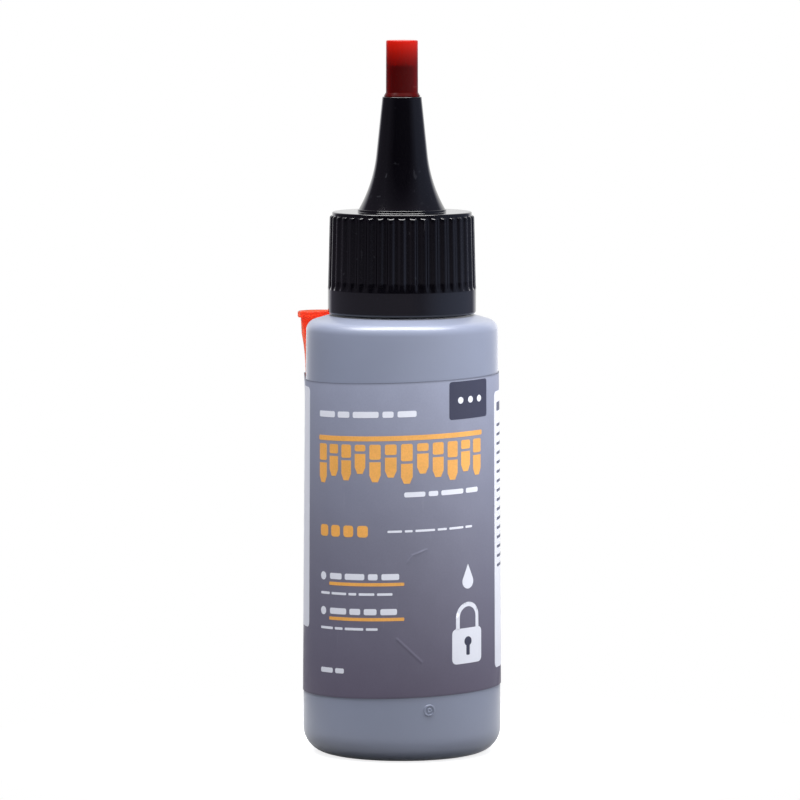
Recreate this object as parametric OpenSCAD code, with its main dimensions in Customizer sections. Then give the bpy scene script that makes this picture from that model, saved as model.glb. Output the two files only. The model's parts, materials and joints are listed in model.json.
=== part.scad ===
// Squeeze bottle of graphite lock lubricant with a screw spout, tip cap and stored extension nozzle.
// Millimetres, +Z up, the bottle's axis on Z and its foot on z = 0. The front faces -Y.

/* [Bottle] */
// Outer diameter of the body at its foot corner
base_d = 36; // [32:0.5:42]
// Outer diameter of the body at its shoulder corner
shoulder_d = 34.8; // [32:0.1:42]
// Height of the shoulder's outer edge, as if its corner were sharp
shoulder_h = 78.5; // [70:0.1:100]
// Radius of the rounded foot corner
foot_corner_r = 4.6; // [2:0.1:6]
// Radius of the rounded shoulder corner
shoulder_corner_r = 2; // [1.2:0.1:3.5]
// Wall of the body and shoulder
bottle_wall = 1; // [0.6:0.05:1.6]
// Width of the flat ring that the bottle stands on
foot_ring_w = 3.4; // [2:0.1:5]
// Depth of the recess under the base
recess_depth = 1.2; // [0.6:0.1:2.4]
// Width of the sloped side of the recess
recess_slope = 2.5; // [1.5:0.1:4]

/* [Neck] */
// Outer diameter of the neck below its thread
neck_d = 21.4; // [19:0.1:24]
// Wall of the neck
neck_wall = 1.7; // [1:0.05:2.4]
// Height of the rim above the shoulder's edge
neck_h = 17.2; // [15:0.1:22]
// How far the shoulder rises from its edge to its flat top
shoulder_rise = 1.25; // [0.3:0.05:2]
// Width of the shoulder's slope, from its edge in to its flat top
shoulder_run = 4.2; // [3:0.1:5]
// Radial gap between the bead round the neck's foot and the cap
bead_gap = 0.35; // [0.2:0.05:0.6]
// Height of the bead's middle above the shoulder's edge
bead_z = 3.4; // [3:0.1:5]
// Chamfer at the rim
rim_chamfer = 0.4; // [0.1:0.05:0.7]

/* [Thread] */
// How far the neck's thread stands out
thread_h = 1; // [0.8:0.05:1.2]
// Rise of the thread in one turn
thread_pitch = 3.175; // [2.5:0.005:3.8]
// Turns of thread on the neck
neck_turns = 1.5; // [1:0.125:1.75]
// Turns of thread in the cap
cap_turns = 1.25; // [0.75:0.125:1.5]
// Share of the pitch that a thread's root takes up
thread_root_share = 0.56; // [0.45:0.01:0.6]
// Share of the pitch that a thread's crest takes up
thread_crest_share = 0.25; // [0.15:0.01:0.3]
// Distance from the rim down to the top of the neck's thread
thread_inset = 1.4; // [0.6:0.1:2.5]
// Radial play between a thread's crest and the wall that it faces
thread_crest_play = 0.25; // [0.2:0.01:0.4]

/* [Neck seal] */
// Thickness of the seal
seal_t = 0.8; // [0.5:0.05:1.5]
// How far the seal reaches in past the neck's wall
seal_inset = 2.5; // [0.5:0.1:4]
// Radial gap between the seal and the cap's wall
seal_gap = 0.2; // [0.1:0.05:0.4]

/* [Spout cap] */
// Wall of the skirt between its ribs, beside the band
skirt_wall = 1.05; // [0.8:0.05:1.6]
// How far the skirt leans in from the band to the cap's top
skirt_draft = 0.33; // [0:0.01:0.45]
// How far the ribs stand out from the skirt
rib_depth = 0.41; // [0.2:0.01:0.5]
// Number of grip ribs
rib_count = 40; // [24:1:60]
// Share of each rib's pitch that its crest takes up
rib_crest_share = 0.42; // [0.3:0.01:0.5]
// Share of each rib's pitch that its root takes up
rib_root_share = 0.66; // [0.55:0.01:0.75]
// Distance from the rounded top edge down to the ribs' upper ends
rib_inset = 0.4; // [0:0.05:1]
// Step out from the ribs to the plain band below them
band_step = 0.05; // [0.05:0.01:0.3]
// Height of the plain band
band_h = 4.5; // [3:0.1:6]
// Radius of the rounded edge under the band
band_edge_r = 0.6; // [0.2:0.05:0.8]
// Gap between the cap's lower edge and the shoulder's top
cap_gap = 0.25; // [0.2:0.05:1.5]
// Thickness of the cap's top
cap_top_t = 2; // [1.2:0.1:2.8]
// Radius of the rounded edge round the cap's top
cap_edge_r = 0.25; // [0.2:0.05:1.1]

/* [Spout] */
// Height of the spout above the cap's top
spout_h = 20.8; // [16:0.1:30]
// Half angle of the spout's straight part
spout_half_angle = 6; // [3:0.1:7]
// Height of the flared part at the spout's foot
flare_h = 9.95; // [6:0.05:13]
// How far the flare spreads past the straight part's line
flare_spread = 2.15; // [1:0.05:3]
// Height of the low step under the flare
foot_step_h = 0.45; // [0.2:0.05:1]
// How far the step stands out from the flare
foot_step_w = 0.2; // [0.1:0.05:0.5]
// Wall of the spout
spout_wall = 1.1; // [0.8:0.05:1.3]
// Outer diameter of the outlet that the tip cap closes
outlet_d = 4.2; // [3.4:0.05:5]
// Wall of the outlet
outlet_wall = 1; // [0.6:0.05:1.4]
// Height of the outlet above the spout
outlet_h = 5.6; // [4.5:0.1:9]
// Chamfer at the outlet's end
outlet_chamfer = 0.3; // [0.1:0.05:0.5]
// Width of the ledge round the outlet, on which the tip cap sits
outlet_ledge = 1.45; // [1.2:0.05:2]

/* [Tip cap] */
// Wall of the tip cap at its foot
tip_cap_wall = 0.76; // [0.6:0.02:1]
// How far the tip cap leans in from its foot to its top
tip_cap_draft = 0.03; // [0:0.01:0.2]
// Thickness of the tip cap's closed end
tip_cap_end = 4; // [1.5:0.1:5]
// Radius of the rounded edge at the tip cap's top
tip_cap_edge_r = 0.45; // [0.1:0.05:0.8]
// How far the lip at the tip cap's foot stands out
tip_lip_w = 0.35; // [0.1:0.05:0.5]
// Height of the lip at the tip cap's foot
tip_lip_h = 0.8; // [0.3:0.05:1]
// Radial clearance between the tip cap and the outlet
tip_fit = 0.05; // [0.02:0.01:0.1]
// Room above the outlet's end inside the tip cap
tip_headroom = 0.6; // [0.5:0.1:2]

/* [Extension nozzle] */
// Length of the nozzle
nozzle_length = 62; // [50:0.5:66]
// Height of the nozzle's mouth above the shoulder's edge
nozzle_rise = 1.1; // [0.5:0.1:8]
// Direction of the nozzle round the bottle, anticlockwise from +X
nozzle_azimuth = 141; // [100:1:170]
// Wall of the nozzle's hub below its rim
nozzle_wall = 0.64; // [0.5:0.02:1]
// How far the hub leans in from its rim to its lower end
nozzle_hub_draft = 0.12; // [0:0.01:0.2]
// Length of the hub, rim included
nozzle_hub_l = 4.2; // [3.6:0.1:6]
// How far the rim round the nozzle's mouth stands out
nozzle_rim_w = 0.55; // [0.3:0.05:1]
// Height of the rim round the nozzle's mouth
nozzle_rim_h = 1.2; // [0.8:0.1:2]
// Length of the flare below the hub
nozzle_flare_l = 6; // [4:0.1:9]
// Outer diameter where the flare runs out
nozzle_waist_d = 4.25; // [3.6:0.05:4.6]
// Outer diameter of the nozzle's thin end
nozzle_tip_d = 1.8; // [1.5:0.05:2.4]
// Wall of the nozzle's thin end
nozzle_tip_wall = 0.45; // [0.3:0.05:0.6]
// Radial clearance between the nozzle's socket and the outlet
socket_fit = 0.06; // [0.02:0.01:0.1]
// Depth of the nozzle's socket
socket_depth = 4; // [3:0.1:5.5]
// Gap between the nozzle and the bottle's wall
nozzle_gap = 0.2; // [0.1:0.05:0.5]

/* [Wrap label] */
// Height of the label's lower edge
label_foot_z = 12; // [8:0.1:20]
// Distance from the shoulder's edge down to the label's upper edge
label_drop = 9.7; // [8:0.1:20]
// Thickness of the label
label_t = 0.15; // [0.1:0.01:0.25]
// Gap between the label and the bottle's wall
label_gap = 0.04; // [0.03:0.01:0.1]
// Gap between the label and the nozzle that it covers
pocket_gap = 0.15; // [0.1:0.01:0.3]

/* [Graphite charge] */
// Distance from the shoulder's edge down to the graphite
fill_drop = 20.5; // [5:0.1:60]
// How far the graphite dips at its middle
fill_dip = 1.5; // [0:0.1:4]
// Gap between the graphite and the bottle's wall
fill_gap = 0.05; // [0.02:0.01:0.2]

/* [Hidden] */
$fn = 96;

// How far a solid reaches into what it is joined to, and a cut past what it opens
overlap = 0.2;
// Smallest radius left inside a rounded corner
least_corner_r = 0.1;
// Steps along a rounded corner, and along a flare
corner_steps = 10;
flare_steps = 14;
// Steps in one turn of thread, and the share of a turn over which a thread runs in or out
thread_steps = 30;
thread_runout = 0.1;
// Rings up the label, and points round its plain part and its pocket
label_rings = 5;
label_wall_points = 84;
label_pocket_points = 12;

rim_z = shoulder_h + neck_h;
cap_foot_z = shoulder_h + shoulder_rise + cap_gap;
cap_under_z = rim_z + seal_t;
cap_top_z = cap_under_z + cap_top_t;
spout_top_z = cap_top_z + spout_h;

neck_r = neck_d / 2;
neck_bore_r = neck_r - neck_wall;
shoulder_slope = shoulder_rise / shoulder_run;
thread_r = neck_r + thread_h;
thread_root_w = thread_pitch * thread_root_share;
thread_crest_w = thread_pitch * thread_crest_share;
neck_thread_z = rim_z - thread_inset - thread_crest_w / 2 - neck_turns * thread_pitch;

skirt_bore_r = thread_r + thread_crest_play;
skirt_r = skirt_bore_r + skirt_wall;
rib_crest_r = skirt_r + rib_depth;
band_r = rib_crest_r + band_step;

outlet_r = outlet_d / 2;
spout_tip_r = outlet_r + outlet_ledge;
spout_slope = tan(spout_half_angle);

nozzle_top_z = shoulder_h + nozzle_rise;
nozzle_tip_z = nozzle_top_z - nozzle_length;
nozzle_hub_foot_z = nozzle_top_z - nozzle_hub_l;
socket_r = outlet_r + socket_fit;
nozzle_hub_r = socket_r + nozzle_wall;
nozzle_hub_foot_r = nozzle_hub_r - nozzle_hub_draft;
nozzle_waist_r = nozzle_waist_d / 2;
nozzle_tip_r = nozzle_tip_d / 2;
nozzle_waist_depth = nozzle_hub_l + nozzle_flare_l;

// Points of an arc about a centre, from one angle to another
function arc(centre, r, from, to, steps) =
    [for (i = [0:steps]) let (a = from + (to - from) * i / steps) centre + r * [cos(a), sin(a)]];

// Outer radius of the bottle's side at a height between its corners
function side_r(z) =
    base_d / 2 + (shoulder_d - base_d) / 2
    * (z - foot_corner_r) / (shoulder_h - shoulder_corner_r - foot_corner_r);

// Height of the shoulder's slope at a radius, carried on past its rounded corner
function shoulder_z(r) = shoulder_h + shoulder_slope * (shoulder_d / 2 - r);

// Outer radius of the spout's straight part, carried on to any height
function spout_r(z) = spout_tip_r + spout_slope * (spout_top_z - z);

// Outer radius of the nozzle below its rim, at a depth below its mouth
function nozzle_r(depth) =
    let (
        into_flare = max(0, (depth - nozzle_hub_l) / nozzle_flare_l),
        into_taper = (depth - nozzle_waist_depth) / (nozzle_length - nozzle_waist_depth)
    )
    into_flare < 1
        ? nozzle_waist_r + (nozzle_hub_foot_r - nozzle_waist_r) * pow(1 - into_flare, 2)
        : nozzle_waist_r + (nozzle_tip_r - nozzle_waist_r) * into_taper;

// The nozzle leans on the bottle at its hub's lower end and at its thin end
nozzle_hub_reach = max(side_r(nozzle_hub_foot_z), shoulder_d / 2) + nozzle_hub_foot_r + nozzle_gap;
nozzle_tip_reach = side_r(nozzle_tip_z) + nozzle_tip_r + nozzle_gap;
nozzle_lean = (nozzle_hub_reach - nozzle_tip_reach) / (nozzle_hub_foot_z - nozzle_tip_z);

// Distance of the nozzle's axis from the bottle's axis at a height
function nozzle_reach(z) = nozzle_hub_reach + nozzle_lean * (z - nozzle_hub_foot_z);

// Outline of the bottle's body from its axis round to a radius in the neck, moved in by an inset
function body_outline(inset, end_r) =
    let (
        recess_r = base_d / 2 - foot_corner_r - foot_ring_w,
        foot_r = max(foot_corner_r - inset, least_corner_r),
        top_r = max(shoulder_corner_r - inset, least_corner_r),
        slope_angle = atan(shoulder_slope),
        top_mid_r = shoulder_d / 2 - inset - top_r,
        top_mid = [top_mid_r, shoulder_z(top_mid_r) - (inset + top_r) / cos(slope_angle)],
        flat_r = shoulder_d / 2 - shoulder_run - inset * tan(slope_angle / 2),
        flat_z = shoulder_h + shoulder_rise - inset
    )
    concat(
        [
            [0, recess_depth + inset],
            [recess_r - recess_slope, recess_depth + inset],
            [recess_r, inset],
        ],
        arc([base_d / 2 - inset - foot_r, inset + foot_r], foot_r, -90, 0, corner_steps),
        arc(top_mid, top_r, 0, 90 - slope_angle, corner_steps),
        [[flat_r, flat_z], [end_r, flat_z]]
    );

// A trapezoid swept along a helix, from a root radius to a crest radius. Its crest sinks at both ends.
module thread(root_r, crest_r, start_z, from_turn, to_turn) {
    least_run = 0.02;
    steps = ceil((to_turn - from_turn) * thread_steps);
    points = [
        for (i = [0:steps])
            let (
                turn = from_turn + (to_turn - from_turn) * i / steps,
                to_end = min(turn - from_turn, to_turn - turn),
                run = max(least_run, min(1, to_end / thread_runout)),
                r = root_r + (crest_r - root_r) * run,
                root_half = thread_root_w / 2,
                crest_half = root_half - (thread_root_w - thread_crest_w) / 2 * run,
                z = start_z + turn * thread_pitch,
                out = [cos(360 * turn), sin(360 * turn), 0]
            )
            each [
                root_r * out + [0, 0, z - root_half],
                r * out + [0, 0, z - crest_half],
                r * out + [0, 0, z + crest_half],
                root_r * out + [0, 0, z + root_half],
            ]
    ];
    sides = [
        for (i = [0:steps - 1], k = [0:3])
            let (a = 4 * i + k, b = 4 * i + (k + 1) % 4)
            each [[a, b, b + 4], [a, b + 4, a + 4]]
    ];
    last = 4 * steps;
    ends = [[0, 2, 1], [0, 3, 2], [last, last + 1, last + 2], [last, last + 2, last + 3]];
    faces = concat(sides, ends);
    polyhedron(points, crest_r > root_r ? faces : [for (f = faces) [f[2], f[1], f[0]]]);
}

module bottle() {
    bead_r = skirt_bore_r - bead_gap;
    bead_w = bead_r - neck_r;
    bead_mid_z = shoulder_h + bead_z;
    color([0.54, 0.57, 0.65]) union() {
        rotate_extrude() difference() {
            polygon(concat(
                body_outline(0, neck_r),
                [
                    [neck_r, bead_mid_z - bead_w],
                    [bead_r, bead_mid_z],
                    [neck_r, bead_mid_z + bead_w],
                    [neck_r, rim_z - rim_chamfer],
                    [neck_r - rim_chamfer, rim_z],
                    [0, rim_z],
                ]
            ));
            polygon(concat(
                body_outline(bottle_wall, neck_bore_r),
                [[neck_bore_r, rim_z + overlap], [0, rim_z + overlap]]
            ));
        }
        thread(neck_r - overlap, thread_r, neck_thread_z, 0, neck_turns);
    }
}

module graphite_charge() {
    fill_z = shoulder_h - fill_drop;
    inset = bottle_wall + fill_gap;
    fill_r = side_r(fill_z) - inset;
    color([0.16, 0.16, 0.18]) rotate_extrude() intersection() {
        polygon(body_outline(inset, 0));
        polygon([[0, 0], [base_d, 0], [base_d, fill_z], [fill_r, fill_z], [0, fill_z - fill_dip]]);
    }
}

// Outline of the label at a height, seen from above with the nozzle along +X: the bottle's round
// wall, and the nozzle's round side joined to it by straight tangents
function label_outline(z, out) =
    let (
        wall_r = side_r(z) + label_gap + out,
        pocket_r = nozzle_r(nozzle_top_z - z) + pocket_gap + out,
        reach = nozzle_reach(z),
        tangent = acos((wall_r - pocket_r) / reach)
    )
    concat(
        arc([0, 0], wall_r, tangent, 360 - tangent, label_wall_points - 1),
        arc([reach, 0], pocket_r, -tangent, tangent, label_pocket_points - 1)
    );

module wrap_label() {
    count = label_wall_points + label_pocket_points;
    step_z = (shoulder_h - label_drop - label_foot_z) / label_rings;
    heights = [for (i = [0:label_rings]) label_foot_z + step_z * i];
    // Each height has its inner loop at an even place and its outer loop at the next odd one
    points = [for (z = heights, out = [0, label_t], p = label_outline(z, out)) [p[0], p[1], z]];
    function strip(a, b) = [
        for (k = [0:count - 1])
            let (next = (k + 1) % count, a0 = a * count, b0 = b * count)
            each [[a0 + k, b0 + k, b0 + next], [a0 + k, b0 + next, a0 + next]]
    ];
    faces = concat(
        strip(0, 1),
        [for (i = [0:label_rings - 1]) each strip(2 * i + 1, 2 * i + 3)],
        strip(2 * label_rings + 1, 2 * label_rings),
        [for (i = [0:label_rings - 1]) each strip(2 * i + 2, 2 * i)]
    );
    color([0.5, 0.49, 0.56]) rotate(nozzle_azimuth) polyhedron(points, faces);
}

module neck_seal() {
    color([0.93, 0.93, 0.9]) translate([0, 0, rim_z]) difference() {
        cylinder(h = seal_t, r = skirt_bore_r - seal_gap);
        translate([0, 0, -overlap]) cylinder(h = seal_t + 2 * overlap, r = neck_bore_r - seal_inset);
    }
}

// Skirt and top of the cap, without its ribs
module cap_shell() {
    band_top_z = cap_foot_z + band_h;
    top_r = skirt_r - skirt_draft;
    rotate_extrude() difference() {
        polygon(concat(
            [[0, cap_foot_z]],
            arc([band_r - band_edge_r, cap_foot_z + band_edge_r], band_edge_r, -90, 0, corner_steps),
            [[band_r, band_top_z], [skirt_r, band_top_z]],
            arc([top_r - cap_edge_r, cap_top_z - cap_edge_r], cap_edge_r, 0, 90, corner_steps),
            [[0, cap_top_z]]
        ));
        translate([0, cap_foot_z - overlap]) square([skirt_bore_r, cap_under_z - cap_foot_z + overlap]);
    }
}

// Grip ribs: straight bars, trimmed to the skirt's lean and sloped off at their upper ends
module cap_ribs() {
    foot_z = cap_foot_z + band_h - overlap;
    top_z = cap_top_z - cap_edge_r - rib_inset;
    top_r = rib_crest_r - skirt_draft;
    root_r = skirt_r - skirt_draft - overlap;
    past_r = rib_crest_r + overlap;
    pitch = 2 * PI * rib_crest_r / rib_count;
    root_half = pitch * rib_root_share / 2;
    crest_half = pitch * rib_crest_share / 2;
    bar = [[root_r, -root_half], [past_r, -crest_half], [past_r, crest_half], [root_r, root_half]];
    intersection() {
        for (i = [0:rib_count - 1])
            rotate(360 * i / rib_count) translate([0, 0, foot_z]) linear_extrude(top_z - foot_z) polygon(bar);
        rotate_extrude() polygon([
            [root_r - overlap, foot_z],
            [rib_crest_r, foot_z],
            [top_r, top_z - rib_depth],
            [top_r - rib_depth, top_z],
            [root_r - overlap, top_z],
        ]);
    }
}

// Spout with its step, flared foot, straight cone and outlet
module spout() {
    flare_foot = [spout_r(cap_top_z + foot_step_h) + flare_spread, cap_top_z + foot_step_h];
    flare_top_z = flare_foot[1] + flare_h;
    flare_top = [spout_r(flare_top_z), flare_top_z];
    // The flare's arc runs on from the cone without a kink and ends at the foot
    chord = flare_foot - flare_top;
    across = [cos(spout_half_angle), sin(spout_half_angle)];
    flare_r = (chord * chord) / (2 * chord * across);
    flare_centre = flare_top + flare_r * across;
    foot_angle = asin((flare_centre[1] - flare_foot[1]) / flare_r);
    step_r = flare_foot[0] + foot_step_w;
    end_z = spout_top_z + outlet_h;
    rotate_extrude() polygon(concat(
        [[0, cap_under_z], [step_r, cap_under_z], [step_r, flare_foot[1]]],
        arc(flare_centre, flare_r, 180 + foot_angle, 180 + spout_half_angle, flare_steps),
        [
            [spout_tip_r, spout_top_z],
            [outlet_r, spout_top_z],
            [outlet_r, end_z - outlet_chamfer],
            [outlet_r - outlet_chamfer, end_z],
            [0, end_z],
        ]
    ));
}

// Hollow through the spout: a throat one wall inside the cone, then the outlet's bore
module spout_throat() {
    bore_r = outlet_r - outlet_wall;
    foot_z = cap_under_z - overlap;
    roof_z = spout_top_z - spout_wall;
    cone_top_z = roof_z - (spout_r(roof_z) - spout_wall - bore_r);
    end_z = spout_top_z + outlet_h + overlap;
    rotate_extrude() polygon([
        [0, foot_z],
        [spout_r(foot_z) - spout_wall, foot_z],
        [spout_r(cone_top_z) - spout_wall, cone_top_z],
        [bore_r, roof_z],
        [bore_r, end_z],
        [0, end_z],
    ]);
}

module spout_cap() {
    // The cap's thread lies midway between the turns of the neck's
    thread_z = neck_thread_z - thread_pitch / 2;
    crest_r = neck_r + thread_crest_play;
    color([0.08, 0.08, 0.1]) difference() {
        union() {
            cap_shell();
            cap_ribs();
            spout();
            thread(skirt_bore_r + overlap, crest_r, thread_z, neck_turns - cap_turns, neck_turns);
        }
        spout_throat();
    }
}

module tip_cap() {
    bore_r = outlet_r + tip_fit;
    bore_h = outlet_h + tip_headroom;
    foot_r = bore_r + tip_cap_wall;
    top_r = foot_r - tip_cap_draft;
    height = bore_h + tip_cap_end;
    color([0.8, 0.08, 0.05]) translate([0, 0, spout_top_z]) rotate_extrude() difference() {
        polygon(concat(
            [[0, 0], [foot_r + tip_lip_w, 0], [foot_r + tip_lip_w, tip_lip_h / 2], [foot_r, tip_lip_h]],
            arc([top_r - tip_cap_edge_r, height - tip_cap_edge_r], tip_cap_edge_r, 0, 90, corner_steps),
            [[0, height]]
        ));
        // The bore narrows at 45 degrees above the outlet's end
        polygon([
            [0, -overlap],
            [bore_r, -overlap],
            [bore_r, outlet_h],
            [bore_r - tip_headroom, bore_h],
            [0, bore_h],
        ]);
    }
}

module extension_nozzle() {
    rim_r = nozzle_hub_r + nozzle_rim_w;
    bore_r = nozzle_tip_r - nozzle_tip_wall;
    waist_bore_r = nozzle_waist_r - nozzle_wall;
    flare_depths = [for (i = [0:flare_steps]) nozzle_hub_l + nozzle_flare_l * i / flare_steps];
    color([0.95, 0.2, 0.12])
        rotate(nozzle_azimuth)
        translate([nozzle_reach(nozzle_top_z), 0, nozzle_top_z])
        rotate([0, atan(nozzle_lean), 0])
        rotate_extrude()
        difference() {
            polygon(concat(
                [[0, 0], [rim_r, 0], [rim_r, -nozzle_rim_h], [nozzle_hub_r, -nozzle_rim_h]],
                [for (depth = flare_depths) [nozzle_r(depth), -depth]],
                [[nozzle_tip_r, -nozzle_length], [0, -nozzle_length]]
            ));
            polygon([
                [0, overlap],
                [socket_r, overlap],
                [socket_r, -socket_depth],
                [waist_bore_r, -nozzle_waist_depth],
                [bore_r, -nozzle_length],
                [bore_r, -nozzle_length - overlap],
                [0, -nozzle_length - overlap],
            ]);
        }
}

bottle();
graphite_charge();
wrap_label();
neck_seal();
spout_cap();
tip_cap();
extension_nozzle();
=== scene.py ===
"""Looks of a squeeze bottle of lock lubricant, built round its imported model.

Lengths are metres in the part's own frame: +Z runs up the bottle's axis and the label's front faces -Y.
"""

import cmath
import functools
import json
import math

import bmesh
import bpy
import numpy as np
from bpy.props import FloatProperty, FloatVectorProperty, IntProperty, PointerProperty
from mathutils import Matrix, Vector


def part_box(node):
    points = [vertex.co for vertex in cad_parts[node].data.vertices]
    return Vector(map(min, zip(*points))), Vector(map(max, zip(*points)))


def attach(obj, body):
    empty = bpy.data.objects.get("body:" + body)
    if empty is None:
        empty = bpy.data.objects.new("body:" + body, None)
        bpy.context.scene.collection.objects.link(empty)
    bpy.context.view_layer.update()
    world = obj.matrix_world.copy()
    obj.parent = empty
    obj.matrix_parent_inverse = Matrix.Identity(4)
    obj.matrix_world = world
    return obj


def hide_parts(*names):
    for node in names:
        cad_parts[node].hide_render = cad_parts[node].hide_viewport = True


bl_info = {
    "name": "Lubricant bottle",
    "version": (1, 0, 0),
    "blender": (4, 5, 0),
    "location": "View3D > Sidebar > Bottle",
    "description": "Dresses a packed squeeze bottle with fine meshes, a printed label and a white studio",
    "category": "Object",
}

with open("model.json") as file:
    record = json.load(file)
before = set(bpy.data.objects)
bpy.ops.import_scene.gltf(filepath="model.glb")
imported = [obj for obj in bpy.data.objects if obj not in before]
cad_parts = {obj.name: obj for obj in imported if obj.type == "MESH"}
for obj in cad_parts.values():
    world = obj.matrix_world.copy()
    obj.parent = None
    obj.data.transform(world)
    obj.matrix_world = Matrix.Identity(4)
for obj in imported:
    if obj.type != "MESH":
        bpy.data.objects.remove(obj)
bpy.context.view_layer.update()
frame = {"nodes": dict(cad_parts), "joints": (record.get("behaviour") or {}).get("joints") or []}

MM = 0.001
FULL_TURN = 2 * math.pi
# Points nearer than this are one point
MERGE = 1e-7
SHARP_ANGLE = math.radians(34)
ARC_STEP = math.radians(11)

BOTTLE_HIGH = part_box("bottle")[1]
FILL_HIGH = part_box("graphite_charge")[1]
LABEL_LOW, LABEL_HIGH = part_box("wrap_label")
SEAL_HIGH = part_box("neck_seal")[1]
CAP_LOW, CAP_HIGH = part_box("spout_cap")
TIP_LOW, TIP_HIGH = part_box("tip_cap")
NOZZLE_LOW, NOZZLE_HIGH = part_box("extension_nozzle")
NOZZLE_AXIS = Vector(next(j["axis"] for j in frame["joints"] if j["name"] == "nozzle_draw"))

# Radii of small rounded edges
LIP_EDGE = 0.08 * MM
HAIR_EDGE = 0.1 * MM
FINE_EDGE = 0.12 * MM
LEDGE_EDGE = 0.14 * MM
STEM_EDGE = 0.15 * MM
SOFT_EDGE = 0.2 * MM
BEAD_EDGE = 0.25 * MM
ROUND_EDGE = 0.3 * MM
NECK_EDGE = 0.35 * MM
RECESS_EDGE = 0.6 * MM
SHOULDER_EDGE = 2 * MM

# Columns and rows of points on a piece, and the longest stretch between rows on its plain walls
BODY_COLUMNS = 192
SMALL_COLUMNS = 96
NOZZLE_COLUMNS = 80
MARK_COLUMNS = 48
MARK_ROWS = 16
COARSE_STEP = 3 * MM

# Strength and depth of a material's relief
INK_RELIEF = 0.1
INK_DEPTH = 0.02 * MM
PLASTIC_DEPTH = 0.05 * MM


def srgb(red, green, blue):
    """Linear colour of three display values from 0 to 255."""
    shares = [value / 255 for value in (red, green, blue)]
    return tuple(s / 12.92 if s <= 0.04045 else ((s + 0.055) / 1.055) ** 2.4 for s in shares)


def length(name, description, metres):
    return FloatProperty(
        name=name, description=description, default=metres, subtype="DISTANCE", unit="LENGTH"
    )


def angle(name, description, degrees):
    return FloatProperty(name=name, description=description, default=math.radians(degrees), subtype="ANGLE")


def colour(name, description, rgb):
    return FloatVectorProperty(
        name=name, description=description, default=rgb, size=3, min=0, max=1, subtype="COLOR"
    )


def level(name, description, value):
    return FloatProperty(name=name, description=description, default=value, min=0)


class BottleSettings(bpy.types.PropertyGroup):
    """Sizes and colours of the bottle and what it holds."""

    foot_radius: length("Foot radius", "Outer radius of the body at its foot corner", BOTTLE_HIGH.x)
    shoulder_radius: length("Shoulder radius", "Outer radius at the shoulder corner", 17.4 * MM)
    foot_corner: length("Foot corner", "Radius of the rounded foot corner", 4.6 * MM)
    shoulder_corner: length("Shoulder corner", "Radius of the rounded shoulder corner", 2.0 * MM)
    shoulder_height: length("Shoulder height", "Height of the shoulder's edge, as if sharp", 78.5 * MM)
    shoulder_rise: length("Shoulder rise", "How far the shoulder rises to its flat top", 1.25 * MM)
    shoulder_run: length("Shoulder run", "Width of the shoulder's slope", 4.2 * MM)
    wall: length("Wall", "Wall of the body", 1.0 * MM)
    ring_width: length("Foot ring", "Width of the flat ring that the bottle stands on", 3.4 * MM)
    recess_depth: length("Recess depth", "Depth of the recess under the base", 1.2 * MM)
    recess_slope: length("Recess slope", "Width of the sloped side of the recess", 2.5 * MM)
    neck_radius: length("Neck radius", "Outer radius of the neck", 10.7 * MM)
    neck_wall: length("Neck wall", "Wall of the neck", 1.7 * MM)
    bead_radius: length("Bead radius", "Outer radius of the bead round the neck's foot", 11.6 * MM)
    bead_height: length("Bead height", "Height of the bead's middle above the shoulder", 3.4 * MM)
    thread_height: length("Thread height", "How far the thread stands out", 1.0 * MM)
    thread_pitch: length("Thread pitch", "Rise of the thread in one turn", 3.175 * MM)
    thread_root: length("Thread root", "Width of the thread at its root", 1.61 * MM)
    thread_crest: length("Thread crest", "Width of the thread at its crest", 0.79 * MM)
    thread_drop: length("Thread drop", "Distance from the rim down to the thread's top", 1.4 * MM)
    thread_turns: level("Thread turns", "Turns of thread on the neck", 1.5)
    unevenness: length("Unevenness", "How far the blown wall swells and sinks", 0.03 * MM)
    mark_radius: length("Mark radius", "Radius of the small moulded ring near the foot", 0.9 * MM)
    mark_height: length("Mark height", "Height of the moulded ring", 9.7 * MM)
    mark_aside: length("Mark aside", "How far the moulded ring lies to the right of the middle", 4.9 * MM)
    plastic: colour("Plastic", "Silver-grey body colour", srgb(134, 141, 162))
    fill_dip: length("Fill dip", "How far the graphite dips at its middle", 1.5 * MM)
    fill_gap: length("Fill gap", "Gap between the graphite and the wall", 0.05 * MM)
    graphite: colour("Graphite", "Colour of the graphite", srgb(52, 52, 57))
    foam: colour("Foam", "Colour of the neck seal", srgb(236, 235, 228))


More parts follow.
